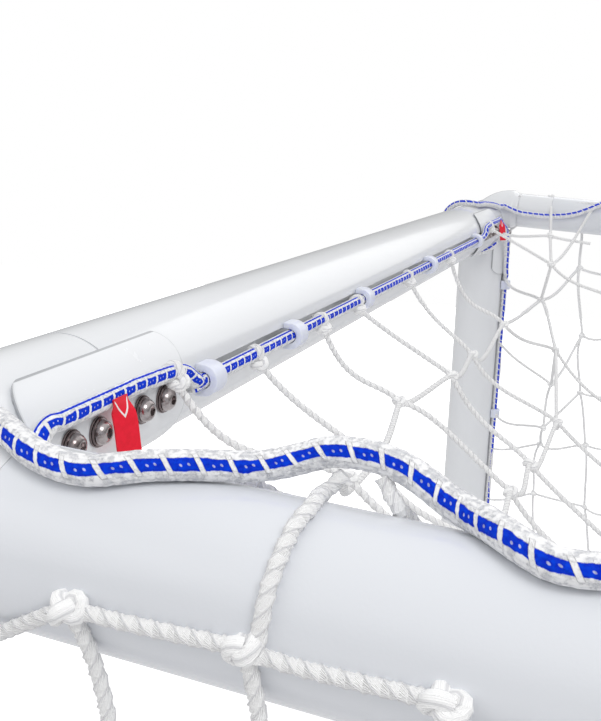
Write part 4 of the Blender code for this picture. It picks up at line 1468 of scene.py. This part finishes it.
@dataclass
class Ropes:
    """The front edge rope and the two seam ropes; each one's blue band faces a fixed direction."""

    shop: Workshop
    place: Layout
    pitch: float = 0.0024
    polar_step: float = 0.010
    sides: int = 32
    braid_lines: int = 8
    braid_rate: float = 120.0
    braid_swell: float = 0.035
    front_band: tuple = (0.75, 0.62, 0.20)
    far_band: tuple = (0.80, 0.25, 0.55)

    def front_half(self, side: Side) -> Array:
        """The front rope's points from the middle of the crossbar to the foot of one post.

        Args:
            side: Which end of the goal.

        Returns:
            The points.
        """
        place = self.place
        sizes = place.sizes
        low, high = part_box(f"crossbar_saddle_{side.word}")
        near, far = sorted(abs(place.half_span - abs(x)) for x in (low.x, high.x))
        centre = (near + far) / 2
        seat = sizes.frame_radius + place.rope_seat
        over = place.saddle_top + place.rope_seat
        over_angle = sizes.saddle_rope_angle
        rounds = [
            (place.half_span, 90, seat), (far + 0.060, 90, seat), (far + 0.016, 90, seat),
            (far + 0.001, 84, over), (far - 0.020, 74, over), (centre + 0.020, over_angle, over),
            (centre, over_angle, over), (near + 0.030, over_angle, over),
            (near + 0.010, over_angle, over), (near - 0.012, 82, over),
        ]
        points = [place.round_crossbar(*point, side) for point in rounds]
        y = place.post_y + seat
        clear = place.post_y + over
        saddle_low = place.axis_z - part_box(f"post_saddle_{side.word}")[0].z
        foot = place.axis_z - place.ground_z - place.bar_radius - 2 * sizes.rope_radius
        drops = [
            (0.076, clear, 0.006), (0.046, clear, 0.030), (0.026, clear, 0.066),
            (0.019, clear, saddle_low - 0.010), (0.009, y + 0.003, saddle_low + 0.003),
            (0.000, y, saddle_low + 0.014), (0.000, y, saddle_low + 0.050), (0.000, y, foot),
        ]
        points += [
            np.array((side.value * (place.half_span - dx), py, place.axis_z - drop)) for dx, py, drop in drops
        ]
        return np.array(points)

    def polar(self, points: list, put: Callable, side: Side) -> list:
        """Smooth points of a run that is given as distance, degrees and radius round a tube.

        Args:
            points: Distance, degrees and radius of each.
            put: The layout's method that places such a point.
            side: Which end of the goal.

        Returns:
            The points in space.
        """
        middle = sum(point[2] for point in points) / len(points)
        flat = np.array(points, float)
        flat[:, 1] = np.radians(flat[:, 1]) * middle
        route = smooth(flat, self.polar_step)
        return [put(x, math.degrees(turn / middle), radius, side) for x, turn, radius in route]

    @staticmethod
    def near_points() -> tuple[list, list]:
        """The right seam rope as distance or depth, degrees and lift: its loop, then its run.

        Returns:
            Both lists.
        """
        loop = [(0.094, 125, 0.0), (0.080, 180, 0.0), (0.068, 260, 0.0), (0.058, 340, 0.0)]
        run = [
            (0.010, 56, 0.006), (0.060, 54, 0.003), (0.090, 38, 0.001), (0.125, 12, 0.001),
            (0.150, -8, 0.0), (0.168, -20, 0.0), (0.190, -23, 0.0), (0.210, -10, 0.0), (0.228, 3, 0.0),
            (0.243, 14, 0.001), (0.256, 21, 0.005), (0.272, 22, 0.012), (0.292, 22, 0.013),
            (0.306, 21, 0.009), (0.318, 19, 0.003), (0.329, 12, 0.0), (0.342, -5, 0.0),
            (0.360, -18, 0.0), (0.385, -10, 0.0), (0.415, 12, 0.0),
        ]
        return loop, run

    def far_points(self) -> tuple[list, list]:
        """The left seam rope as distance or depth, degrees and lift: its loop, then its run.

        Returns:
            Both lists.
        """
        lift = self.place.sizes.rope_gap
        loop = [
            (0.094, 125, 0.0), (0.110, 180, 0.0), (0.150, 240, lift), (0.195, 300, lift),
            (0.226, 345, lift), (0.228, 366, lift), (0.205, 381, 0.0), (0.157, 385, 0.0),
            (0.104, 394, 0.0), (0.062, 404, 0.0),
        ]
        run = [
            (0.050, 80, 0.001), (0.068, 87, 0.0),
            (0.086, 93, self.place.bar_radius + 0.004 - self.place.sizes.elbow_radius),
            (0.112, 95, 0.001), (0.140, 95, 0.0), (0.174, 90, 0.0), (0.200, 82, 0.002),
            (0.228, 68, 0.007), (0.246, 56, 0.008), (0.264, 44, 0.007), (0.290, 32, 0.004),
            (0.320, 26, 0.002), (0.360, 26, 0.0),
        ]
        return loop, run

    def seam(self, side: Side) -> Array:
        """A seam rope's points: round the crossbar's end, along the side bar and down the stay.

        Args:
            side: Which end of the goal.

        Returns:
            The points.
        """
        place = self.place
        sizes = place.sizes
        seat = place.bar_radius + place.rope_seat
        wrap = sizes.frame_radius + place.rope_seat + sizes.rope_gap
        elbow = sizes.elbow_radius + place.rope_seat
        loop, run = self.near_points() if side is Side.RIGHT else self.far_points()
        loop = [(distance, turn, wrap + lift) for distance, turn, lift in loop]
        elbow_run = [(depth, turn, elbow + lift) for depth, turn, lift in run if depth < 0.1]
        run = elbow_run + [(depth, turn, seat + lift) for depth, turn, lift in run if depth > 0.1]
        run.append((sizes.top_depth - sizes.bend_radius, sizes.seam_rope_angle, seat))
        route = self.polar(loop, place.round_crossbar, side) + self.polar(run, place.round_bar, side)
        along = place.along(side)
        down = place.down(side)
        rearward = np.array((0.0, -down[2], down[1]))
        turn = math.radians(sizes.seam_rope_angle)
        inset = np.array((-side.value * seat * math.sin(turn), 0.0, 0.0))
        out = seat * math.cos(turn)
        half = math.acos(float(along @ down)) / 2
        top = place.bar_axis(side, sizes.top_depth)
        tangent = sizes.bend_radius * math.tan(half)
        start = top - along * tangent
        upward = np.array((0.0, -along[2], along[1]))
        centre = start - upward * sizes.bend_radius
        for step in np.linspace(0.0, 2 * half, 10)[1:-1]:
            spoke = upward * math.cos(step) + along * math.sin(step)
            route.append(centre + spoke * (sizes.bend_radius + out + sizes.rope_gap) + inset)
        corner = place.rear_corner(side)
        length = np.linalg.norm(corner - top)
        for share in (tangent / length, 0.5, 1 - (sizes.ball_radius + 2 * sizes.rope_radius) / length):
            route.append(top + down * length * share + rearward * out + inset)
        return np.array(route)

    def front_route(self) -> Array:
        """The front rope's axis, from the left foot over the crossbar to the right foot.

        Returns:
            The axis.
        """
        left = self.front_half(Side.LEFT)
        right = self.front_half(Side.RIGHT)
        return smooth(np.concatenate((left[::-1], right[1:])), self.pitch)

    def build(self) -> None:
        """Make the three ropes."""
        front = self.front_route()
        radius = self.place.sizes.rope_radius
        finish = StitchedRope("front_rope_braid", radius, 0.0, 0.165, slant=0.5)
        spokes = frames(front, np.array(self.front_band))
        self.rope("front_edge_rope", front, spokes, finish, "front_rope")
        for side, turn, towards in ((Side.RIGHT, -0.06, ALONG), (Side.LEFT, 0.0, np.array(self.far_band))):
            route = smooth(self.seam(side), self.pitch)
            label = f"seam_rope_braid_{side.word}"
            finish = StitchedRope(label, radius, turn, turn + 0.42, dashed_half=0.0023, pitch=0.0120)
            node = f"seam_rope_{side.word}"
            self.rope(f"seam_cord_{side.word}", route, frames(route, towards), finish, node)

    def rope(self, name: str, route: Array, spokes: tuple, finish: StitchedRope, node: str) -> None:
        """Make one rope, whose surface swells a little between two crossing braid lines.

        Args:
            name: The piece's name.
            route: Its axis.
            spokes: Two directions square to the axis at each of its points.
            finish: Its braid.
            node: The node that it stands for.
        """
        radius = self.place.sizes.rope_radius
        run = lengths(route)[:, None] * self.braid_rate
        turn = np.arange(self.sides)[None] * self.braid_lines / self.sides
        braid = np.sin((turn + run) * math.tau) * np.sin((turn - run) * math.tau)
        swell = radius * (1.0 + self.braid_swell * braid)
        self.shop.piece(name, swept(route, swell, spokes), finish, "edge_rope", (node,))


@dataclass
class Web:
    """A panel's knots and the strands between them."""

    rng: np.random.Generator
    bow: float = 0.004
    pinned_bow: float = 0.2
    slack: tuple = (0.03, 0.10)
    links: list = field(default_factory=list)
    knots: list = field(default_factory=list)

    def link(self, start: Array, end: Array, hang: float | None = None) -> None:
        """Add a strand between two points.

        Args:
            start: One end.
            end: The other end.
            hang: How far its middle hangs below the chord; a little slack where it isn't given.
        """
        span = float(np.linalg.norm(end - start))
        bow = self.rng.normal(0.0, self.bow, 3)
        if hang is None:
            hang = self.rng.uniform(*self.slack) * span * (1 - abs(end[2] - start[2]) / span)
        else:
            bow = bow * self.pinned_bow
        self.links.append((start, end, bow - UP * hang))

    def grid(
        self, knots: Array, hangs: tuple, cuts: tuple, first_row: bool, upright_cuts: tuple = ()
    ) -> None:
        """Add a grid of knots with its strands.

        Args:
            knots: Rows by columns by 3.
            hangs: Row, column and hang of the strands to the next row that have their own.
            cuts: Row and column of the strands to the next column that are left out.
            first_row: Whether a twine runs along the first row.
            upright_cuts: Row and column of the strands to the next row that are left out.
        """
        rows, columns = knots.shape[:2]
        own = {(row, column): hang for row, column, hang in hangs}
        for row in range(rows):
            for column in range(columns):
                here = knots[row, column]
                if row + 1 < rows and (row, column) not in upright_cuts:
                    self.link(here, knots[row + 1, column], own.get((row, column)))
                if column + 1 < columns and (row > 0 or first_row) and (row, column) not in cuts:
                    self.link(here, knots[row, column + 1])
        self.knots += list(knots[:, 1:-1].reshape(-1, 3))

    def paths(self, step: float) -> list[Array]:
        """Each strand's points: off the chord by a cubic of t that is 1 at a third of the way.

        Args:
            step: The distance between two points.

        Returns:
            The points of each strand.
        """
        made = []
        for start, end, middle in self.links:
            count = max(6, int(np.linalg.norm(end - start) / step))
            t = np.linspace(0.0, 1.0, count)[:, None]
            made.append(start + (end - start) * t + 6.75 * t * (1 - t) ** 2 * middle)
        return made


@dataclass
class Net:
    """The knotted net: roof and back in one fall, and the two side panels."""

    shop: Workshop
    place: Layout
    twine: TwistedTwine
    route: Array
    radius: float = 0.0034
    lobes: tuple = (1.0, 0.86, 0.86)
    first_spoke: tuple = (0.31, 0.22, 0.925)
    knot_sides: int = 8
    twist: float = 0.021
    step: float = 0.0026
    seed: int = 7
    tie_distances: tuple = (0.302, 0.457, 0.630, 0.757, 0.996, 1.270, 1.656)
    pins: tuple = (
        (1, 1, 0.663, 0.193, -0.041), (1, 2, 0.508, 0.172, -0.084), (1, 3, 0.335, 0.147, -0.077),
        (1, 4, 0.208, 0.174, -0.074), (1, 5, -0.030, 0.155, -0.101), (1, 6, -0.305, 0.156, -0.107),
        (1, 7, -0.752, 0.179, -0.058), (2, 3, 0.335, 0.266, -0.155), (2, 4, 0.208, 0.270, -0.166),
        (2, 5, -0.030, 0.277, -0.182), (2, 6, -0.500, 0.226, -0.182),
    )
    hangs: tuple = (
        (0, 1, 0.022), (0, 2, 0.006), (0, 3, 0.019), (0, 4, 0.004), (0, 5, 0.012), (0, 6, 0.027),
        (0, 7, 0.001), (1, 3, -0.010), (1, 4, 0.014),
    )
    cuts: tuple = ((1, 6), (2, 6))
    far_pins: tuple = (
        (0, 1, -0.965, 0.145, 0.066), (1, 0, -0.965, 0.056, -0.120), (1, 1, -0.800, 0.160, -0.141),
        (2, 0, -0.965, 0.056, -0.275), (2, 1, -0.800, 0.197, -0.321), (3, 0, -0.965, 0.056, -0.444),
        (3, 1, -0.840, 0.185, -0.432),
    )
    far_cuts: tuple = ((0, 1), (1, 1))
    far_bridges: tuple = (
        ((-0.305, 0.156, -0.107), (-0.800, 0.160, -0.141), 0.006),
        ((-0.752, 0.179, -0.058), (-0.800, 0.160, -0.141), 0.002),
        ((-0.800, 0.160, -0.141), (-0.500, 0.226, -0.182), -0.012),
        ((-0.500, 0.226, -0.182), (-0.800, 0.197, -0.321), 0.002),
        ((-0.752, 0.179, -0.058), (-0.850, 0.162, -0.010), 0.001),
        ((-0.850, 0.162, -0.010), (-0.965, 0.145, 0.066), 0.001),
        ((-0.850, 0.162, -0.010), (-0.860, 0.245, -0.022), 0.001),
        ((-0.770, 0.075, -0.004), (-0.850, 0.162, -0.010), 0.004),
    )
    far_knots: tuple = ((-0.850, 0.162, -0.010),)
    lacing: tuple = (
        (
            (0.278, 24, 0.0485), (0.272, 23, 0.0405), (0.273, 8, 0.0400), (0.274, -8, 0.0400),
            (0.272, -28, 0.0400), (0.270, -60, 0.0400), (0.268, -95, 0.0405),
        ),
        (
            (0.293, 21, 0.0500), (0.296, 22, 0.0455), (0.300, 24, 0.0400), (0.304, 60, 0.0400),
            (0.306, 100, 0.0402),
        ),
    )
    middle_line: tuple = (
        (0.062, -0.002), (0.155, -0.085), (0.268, -0.165), (0.375, -0.255), (0.475, -0.355),
        (0.570, -0.465), (0.660, -0.585), (0.745, -0.705), (0.825, -0.825), (0.900, -0.940),
        (0.975, -1.055), (1.050, -1.165),
    )
    roof_rows: int = 4
    looseness: float = 0.006
    inset: float = 0.020
    edge_start: float = 0.075
    edge_end: float = 0.05
    edge_lift: float = 0.9
    stand_off: float = 0.004
    bulge: float = 0.012
    tie_drop: tuple = (0.0, 0.0045, -0.0085)
    tie_share: float = 0.62
    tie_turns: float = 1.7
    tie_start: float = 3.9
    tie_knots: tuple = ((0.0, 0.0040, -0.0092), (-0.005, 0.0030, -0.0080))

    def edge_line(self) -> Array:
        """Depth and height of the net's edge along the side bar, its bend and the stay.

        Returns:
            One row for each point of the middle line.
        """
        place = self.place
        sizes = place.sizes
        side = Side.RIGHT
        along = place.along(side)
        down = place.down(side)
        upward = np.array((0.0, -along[2], along[1]))
        rearward = np.array((0.0, -down[2], down[1]))
        lift = place.bar_radius * self.edge_lift
        start = place.bar_axis(side, self.edge_start) + upward * lift
        top = place.bar_axis(side, sizes.top_depth) + unit(upward + rearward) * lift
        end = place.rear_corner(side) + rearward * lift - down * self.edge_end
        route = filleted(np.array((start, top, end)), sizes.bend_radius + lift, 16)
        count = len(self.middle_line)
        even = evenly(route, lengths(route)[-1] / (count - 1))
        return np.stack((even[:, 1] - place.post_y, even[:, 2] - place.axis_z), axis=-1)

    def fall(self) -> Array:
        """The roof and back's knots: rows by columns.

        Each knot's depth and height blend from the edge's line to the middle line by one minus the
        fourth power of the distance from the goal's middle, as a share of its half width.

        Returns:
            Rows by columns by 3.
        """
        place = self.place
        edge = self.edge_line()
        middle = np.array(self.middle_line)
        columns = np.array((self.inset, *self.tie_distances, 2 * place.half_span - self.inset))
        x = place.half_span - columns
        blend = 1.0 - np.abs(x / (place.half_span - self.inset)) ** 4
        plane = edge[:, None] + (middle - edge)[:, None] * blend[None, :, None]
        plane[0, 1:-1] = self.middle_line[0]
        knots = np.zeros((len(middle), len(columns), 3))
        knots[..., 0] = x
        knots[..., 1] = place.post_y + plane[..., 0]
        knots[..., 2] = place.axis_z + plane[..., 1]
        return knots

    def spot(self, x: float, depth: float, height: float) -> Array:
        """A point from X, the depth behind the post's axis and the height over the crossbar's axis."""
        return np.array((x, self.place.post_y + depth, self.place.axis_z + height))

    def build(self) -> None:
        """Make the four panels."""
        rng = np.random.default_rng(self.seed)
        knots = self.loosened(self.fall(), rng, free_foot=True)
        for row, column, *spot in self.pins:
            knots[row, column] = self.spot(*spot)
        centres = np.array([self.rope_at(tie[0]) for tie in knots[0, 1:-1]])
        knots[0, 1:-1] = centres + np.array(self.tie_drop)
        roof = Web(rng)
        roof.grid(knots[: self.roof_rows + 1], self.hangs, self.cuts, first_row=False)
        for start, end, hang in self.far_bridges:
            roof.link(self.spot(*start), self.spot(*end), hang)
        roof.knots += [self.spot(*knot) for knot in self.far_knots]
        self.panel("roof_net", roof, "net_roof", self.tie_loops(centres, rng))
        back = Web(rng)
        back.grid(knots[self.roof_rows :], (), (), first_row=False)
        self.panel("back_net", back, "net_back", [])
        near = Web(rng)
        near.grid(self.side_knots(Side.RIGHT, rng), (), (), first_row=True)
        self.panel("side_net_right", near, "net_right", self.laced())
        side = self.side_knots(Side.LEFT, rng)
        for row, column, *spot in self.far_pins:
            side[row, column] = self.spot(*spot)
        far = Web(rng)
        far.grid(side, (), (), first_row=True, upright_cuts=self.far_cuts)
        self.panel("side_net_left", far, "net_left", [])

    def laced(self) -> list[Surface]:
        """The lacing strands that come over the near side bar from the side panel's top edge.

        Returns:
            The strands.
        """
        made = []
        for route in self.lacing:
            points = [self.place.round_bar(*point, Side.RIGHT) for point in route]
            made.append(self.strand(smooth(np.array(points), self.step)))
        return made

    def rope_at(self, x: float) -> Array:
        """The front rope's axis over the crossbar at some X."""
        high = self.route[self.route[:, 2] > self.place.axis_z - 0.02]
        return high[np.argmin(np.abs(high[:, 0] - x))]

    def tie_loops(self, centres: Array, rng: np.random.Generator) -> list[Surface]:
        """A tight loop of twine round the front rope at each tie, with two knots under it.

        Args:
            centres: The rope's axis at each tie.
            rng: The source of each loop's lean.

        Returns:
            The loops and knots.
        """
        over = self.place.sizes.rope_radius + self.radius * 0.22
        turn = np.linspace(0.0, math.tau * self.tie_turns, 60)
        made = []
        for centre in centres:
            lean = rng.uniform(-0.004, 0.004)
            pitch = rng.uniform(0.004, 0.006)
            x = (turn / math.tau - self.tie_turns / 2) * pitch + lean * np.cos(turn)
            spot = turn + self.tie_start
            loop = np.stack((x, over * np.sin(spot), over * np.cos(spot)), axis=-1)
            made.append(self.strand(centre + loop, self.tie_share))
            made += [self.knot(centre + np.array(shift), rng) for shift in self.tie_knots]
        return made

    def side_knots(self, side: Side, rng: np.random.Generator) -> Array:
        """A side panel's knots: columns from the post's rope back to the stay, rows downwards.

        Args:
            side: Which end of the goal.
            rng: The source of the knots' shifts.

        Returns:
            Rows by columns by 3.
        """
        place = self.place
        sizes = place.sizes
        columns = 8
        rows = 10
        share = np.linspace(0.0, 1.0, columns)[None, :]
        lift = np.linspace(1.0, 0.0, rows)[:, None]
        front = sizes.frame_radius + place.rope_seat + self.stand_off
        top_run = sizes.top_depth - sizes.bend_radius / 2 - front
        low_run = place.rear_y - place.post_y - place.bar_radius - front
        depth = front + (low_run + (top_run - low_run) * lift) * share
        out = ease((depth - front) / sizes.leg_reach)
        reach = place.bar_radius + sizes.rope_gap + sizes.twine_radius
        clear = sizes.elbow_radius + self.stand_off
        away = clear + (reach - clear) * out + self.bulge * np.sin(out * math.pi)
        turn = out * math.pi / 2
        low_z = place.ground_z + place.bar_radius + self.stand_off
        top_z = place.axis_z + sizes.bar_rise - sizes.bar_slope * depth - away * np.cos(turn)
        knots = np.zeros((rows, columns, 3))
        knots[..., 0] = side.value * (place.half_span + away * np.sin(turn))
        knots[..., 1] = place.post_y + depth
        knots[..., 2] = low_z + (top_z - low_z) * lift
        return self.loosened(knots, rng, free_foot=False)

    def loosened(self, knots: Array, rng: np.random.Generator, free_foot: bool) -> Array:
        """A grid of knots shifted at random, but for those along its held edges.

        Args:
            knots: Rows by columns by 3.
            rng: The source of the shifts.
            free_foot: Whether the last row shifts too.

        Returns:
            The shifted knots.
        """
        loose = rng.normal(0.0, self.looseness, knots.shape)
        held = (0,) if free_foot else (0, -1)
        loose[held, :] = 0.0
        loose[:, (0, -1)] = 0.0
        return knots + loose

    def panel(self, name: str, web: Web, node: str, extras: list[Surface]) -> None:
        """Make one panel from its web of knots and strands.

        Args:
            name: The piece's name.
            web: The knots and strands.
            node: The node that it stands for.
            extras: Further twines that belong to it.
        """
        strands = [self.strand(path) for path in web.paths(self.step)]
        lumps = [self.knot(centre, web.rng) for centre in web.knots]
        shape = Surface.joined(strands + lumps + extras)
        self.shop.piece(name, shape, self.twine, "net_twine", (node,))

    def strand(self, path: Array, share: float = 1.0) -> Surface:
        """A twisted twine: its section has three lobes and turns once in every twist length.

        Args:
            path: Its axis.
            share: Its thickness, as a share of the net's twine.

        Returns:
            The twine's surface.
        """
        spokes = steady_frames(path, np.array(self.first_spoke))
        lobes = self.radius * share * np.tile(self.lobes, (len(path), 3))
        return swept(path, lobes, spokes, lengths(path) / self.twist * math.tau)

    def knot(self, centre: Array, rng: np.random.Generator) -> Surface:
        """A knot: a tube along a trefoil, turned at random.

        The trefoil's points are (sin t + 2 sin 2t, cos t - 2 cos 2t, -1.3 sin 3t), scaled.

        Args:
            centre: Its place.
            rng: The source of its turn and size.

        Returns:
            The knot's surface.
        """
        t = np.linspace(0.0, math.tau, 31)
        flat = (np.sin(t) + 2 * np.sin(2 * t), np.cos(t) - 2 * np.cos(2 * t), -1.3 * np.sin(3 * t))
        curve = np.stack(flat, axis=-1) * self.radius * rng.uniform(0.50, 0.62)
        tangent = unit(np.gradient(curve, axis=0))
        tangent[0] = tangent[-1] = unit(curve[1] - curve[-2])
        first = unit(np.cross(tangent, UP + 0.001))
        thickness = np.full((len(curve) - 1, self.knot_sides), self.radius * 0.95)
        shape = swept(curve[:-1], thickness, (first[:-1], np.cross(tangent, first)[:-1]))
        turn = Matrix.Rotation(rng.uniform(0.0, math.tau), 3, "Z")
        tilt = Matrix.Rotation(rng.uniform(-0.6, 0.6), 3, "X")
        return shape.moved(np.array(turn @ tilt), centre)


@dataclass
class Ribbons:
    """The red marker ribbons that hang from the front rope."""

    shop: Workshop
    place: Layout
    weave: WovenRibbon
    thickness: float = 0.0010
    flare: float = 0.0085
    twist: float = math.radians(32)
    tucked: float = math.radians(14)

    def build(self) -> None:
        """Make both ribbons: a strip whose profile starts on the rope's side and hangs down."""
        for side in Side:
            node = f"ribbon_{side.word}"
            low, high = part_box(node)
            seat = self.place.rope_seat
            turn = math.radians(self.place.sizes.saddle_rope_angle)
            over = self.place.saddle_top + seat
            centre = np.array(
                (
                    (low.x + high.x) / 2,
                    self.place.post_y + over * math.sin(turn),
                    self.place.axis_z + over * math.cos(turn),
                )
            )
            outer = seat + self.thickness
            bend = arc(outer - self.thickness / 2, self.tucked, 0.0, 16)
            hang = centre[2] - low.z
            share = np.linspace(0.0, 1.0, 20)[1:, None]
            out = outer - self.thickness / 2 + self.flare * share + 0.0008 * np.sin(share * 5.0)
            profile = np.concatenate((bend, np.concatenate((out, -share * hang), axis=1)))
            self.strip(node, centre, profile, (high.x - low.x) / 2)

    def strip(self, node: str, centre: Array, profile: Array, half: float) -> None:
        """Make one ribbon from its profile of rearward offset and height.

        The strip lies along the rope at its top, and turns about the vertical as it hangs.

        Args:
            node: The node that it stands for.
            centre: The rope's axis there.
            profile: Rearward offset and height of the strip's middle surface.
            half: Half its width.
        """
        run = lengths(profile)
        along = np.gradient(profile, axis=0)
        normal = unit(np.stack((along[:, 1], -along[:, 0]), axis=-1)) * self.thickness / 2
        width = np.linspace(-half, half, 13)
        turn = self.twist * ease((-profile[:, 1] - 0.001) / 0.009)[:, None]
        layers = []
        for sign in (1, -1):
            line = profile - normal * sign
            points = np.zeros((len(profile), len(width), 3))
            points[..., 0] = centre[0] + width[None] * np.cos(turn)
            points[..., 1] = centre[1] + line[:, None, 0] - width[None] * np.sin(turn)
            points[..., 2] = centre[2] + line[:, None, 1]
            layers.append(points)
        around = np.concatenate((width, width[::-1] + 2 * half, [width[0] + 4 * half]))
        shape = Surface.slab(*layers, around, run)
        self.shop.piece(f"{node}_strip", shape, self.weave, "ribbon_weave", (node,))


@dataclass
class Feet:
    """The rubber foot plates under the posts."""

    shop: Workshop
    place: Layout
    rubber: Moulded
    edge: float = 0.0012
    plate: float = 0.005
    plug: float = 0.033

    def build(self) -> None:
        """Make both feet as turned plates with rounded rims."""
        for side in Side:
            node = f"foot_{side.word}"
            low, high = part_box(node)
            radius = (high.x - low.x) / 2
            rim = arc(self.edge, -math.pi / 2, 0.0, 5, (radius - self.edge, self.edge))
            shoulder = arc(self.edge, 0.0, math.pi / 2, 5, (radius - self.edge, self.plate - self.edge))
            plug = ((self.plug, self.plate), (self.plug, high.z), (0.002, high.z))
            profile = np.concatenate((((radius * 0.2, 0.0),), rim, shoulder, plug))
            centre = np.array((side.value * self.place.half_span, self.place.post_y, 0.0))
            shape = turned(profile, 64).moved(np.eye(3), centre)
            self.shop.piece(f"{node}_rubber", shape, self.rubber, "foot_rubber", (node,))


@dataclass
class Studio:
    """The pale floor, the lamps, the world and the camera."""

    place: Layout
    lens: float = 48.164
    eye: tuple = (0.30548, 0.37760, 0.19155)
    right: tuple = (-0.349195, 0.936546, 0.030724)
    up: tuple = (-0.206594, -0.108927, 0.972344)
    back: tuple = (0.913992, 0.333190, 0.231532)
    floor_size: float = 14.0
    fade: tuple = (1.0, 3.2)
    near_glow: tuple = (0.30, 0.30, 0.30)
    far_glow: tuple = (1.0, 1.0, 1.0)
    aim: tuple = (0.4, -0.3, 1.0)
    sky: tuple = (0.02, 0.62, 0.32, 0.84)

    def build(self) -> None:
        """Set up everything that isn't the goal."""
        self.camera()
        self.floor()
        self.lamps()
        self.world()

    def camera(self) -> None:
        """Put the camera at the photograph's place, off the near corner of the front frame."""
        data = bpy.data.cameras.new("photo_camera")
        data.lens = self.lens
        data.sensor_width = 36.0
        data.clip_start = 0.01
        camera = bpy.data.objects.new("photo_camera", data)
        corner = (self.place.half_span, self.place.post_y, self.place.axis_z)
        matrix = Matrix((self.right, self.up, self.back)).transposed().to_4x4()
        matrix.translation = [c + e for c, e in zip(corner, self.eye)]
        camera.matrix_world = matrix
        bpy.context.scene.collection.objects.link(camera)
        bpy.context.scene.camera = camera

    def floor(self) -> None:
        """Lay a pale floor that keeps the goal's shadow."""
        edge = np.array((-0.5, 0.5)) * self.floor_size
        x, y = np.meshgrid(edge, edge)
        share = np.array((0.0, 1.0))
        mesh = Surface.grid(np.stack((x, y, x * 0.0), axis=-1), share, share, False).mesh("floor")
        floor = bpy.data.objects.new("floor", mesh)
        bpy.context.scene.collection.objects.link(floor)
        shop = Shader("floor_paper")
        shop.set(base_color=(0.86, 0.86, 0.87), roughness=0.9, specular_ior_level=0.0)
        seen = shop.node("ShaderNodeLightPath", {}, {}, "Is Camera Ray")
        away = shop.node("ShaderNodeVectorMath", {"operation": "LENGTH"}, {0: shop.place()}, "Value")
        glow = shop.mix(away.step(*self.fade), self.near_glow, self.far_glow)
        shop.set(emission_color=glow, emission_strength=seen)
        mesh.materials.append(shop.material)

    def lamps(self) -> None:
        """Hang three soft lamps: a key from above the rear, a fill from the front and a side lamp."""
        for name, spot, size, power in (
            ("key", (2.2, 1.2, 3.6), 1.4, 30.0),
            ("fill", (2.4, -2.2, 2.2), 2.6, 8.0),
            ("rim", (-2.6, 0.4, 2.6), 2.4, 14.0),
        ):
            data = bpy.data.lights.new(name, "AREA")
            data.shape = "DISK"
            data.size = size
            data.energy = power
            lamp = bpy.data.objects.new(name, data)
            lamp.location = spot
            lamp.rotation_euler = (Vector(self.aim) - lamp.location).to_track_quat("-Z", "Y").to_euler()
            bpy.context.scene.collection.objects.link(lamp)

    def world(self) -> None:
        """Light the goal from a bright ceiling over a darker horizon, and show white to the camera."""
        world = bpy.data.worlds.new("studio")
        bpy.context.scene.world = world
        world.use_nodes = True
        tree = world.node_tree
        background = tree.nodes["Background"]
        background.inputs["Color"].default_value = (1.0, 1.0, 1.0, 1.0)
        geometry = tree.nodes.new("ShaderNodeNewGeometry")
        parts = tree.nodes.new("ShaderNodeSeparateXYZ")
        tree.links.new(geometry.outputs["Incoming"], parts.inputs[0])
        height = tree.nodes.new("ShaderNodeMath")
        height.operation = "ABSOLUTE"
        tree.links.new(parts.outputs["Z"], height.inputs[0])
        graded = tree.nodes.new("ShaderNodeMapRange")
        graded.interpolation_type = "SMOOTHSTEP"
        for name, value in zip(("From Min", "From Max", "To Min", "To Max"), self.sky):
            graded.inputs[name].default_value = value
        tree.links.new(height.outputs[0], graded.inputs["Value"])
        path = tree.nodes.new("ShaderNodeLightPath")
        strength = tree.nodes.new("ShaderNodeMapRange")
        strength.inputs["To Max"].default_value = 1.0
        tree.links.new(graded.outputs[0], strength.inputs["To Min"])
        tree.links.new(path.outputs["Is Camera Ray"], strength.inputs["Value"])
        tree.links.new(strength.outputs[0], background.inputs["Strength"])


def dress_kept_nodes(shop: Workshop) -> None:
    """Give the splice bars, whose solids are shown as they are, their own finish.

    Args:
        shop: The workshop that holds the frame.
    """
    aluminium = Polished("mill_aluminium", (0.70, 0.71, 0.73), 0.34, (0.30, 0.30, 0.31))
    for node in shop.nodes("splice_bar"):
        shop.dress(shop.frame["nodes"][node], aluminium)


def main() -> None:
    """Build every sub-assembly in order."""
    logging.basicConfig(level=logging.INFO, format="%(name)s: %(message)s")
    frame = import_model()
    bpy.context.scene.view_settings.view_transform = "Standard"
    place = Layout.from_frame(Sizes())
    shop = Workshop(frame)
    gloss = PowderCoat("powder_coat")
    steel = Polished("stainless", (0.47, 0.43, 0.43), dark_until=0.0105)
    Studio(place).build()
    FrontFrame(shop, place, gloss).build()
    # The tubes behind the front frame get a darker copy of the white coat: painted shade.
    RearFrame(shop, place, PowderCoat("powder_coat_bars", (0.765, 0.785, 0.825))).build()
    # The plate coat paints a grey shadow line along each saddle plate's rim.
    Splices(shop, place, PowderCoat("plate_coat", roughness=0.26, rim=0.12), steel).build()
    Clips(shop, place, Moulded("clip_nylon", (0.78, 0.81, 0.93), 0.3, 0.3)).build()
    ropes = Ropes(shop, place)
    ropes.build()
    Net(shop, place, TwistedTwine("net_twine"), ropes.front_route()).build()
    Ribbons(shop, place, WovenRibbon("ribbon_weave")).build()
    Feet(shop, place, Moulded("foot_rubber", (0.03, 0.03, 0.032), 0.6)).build()
    dress_kept_nodes(shop)


if __name__ == "__main__":
    main()
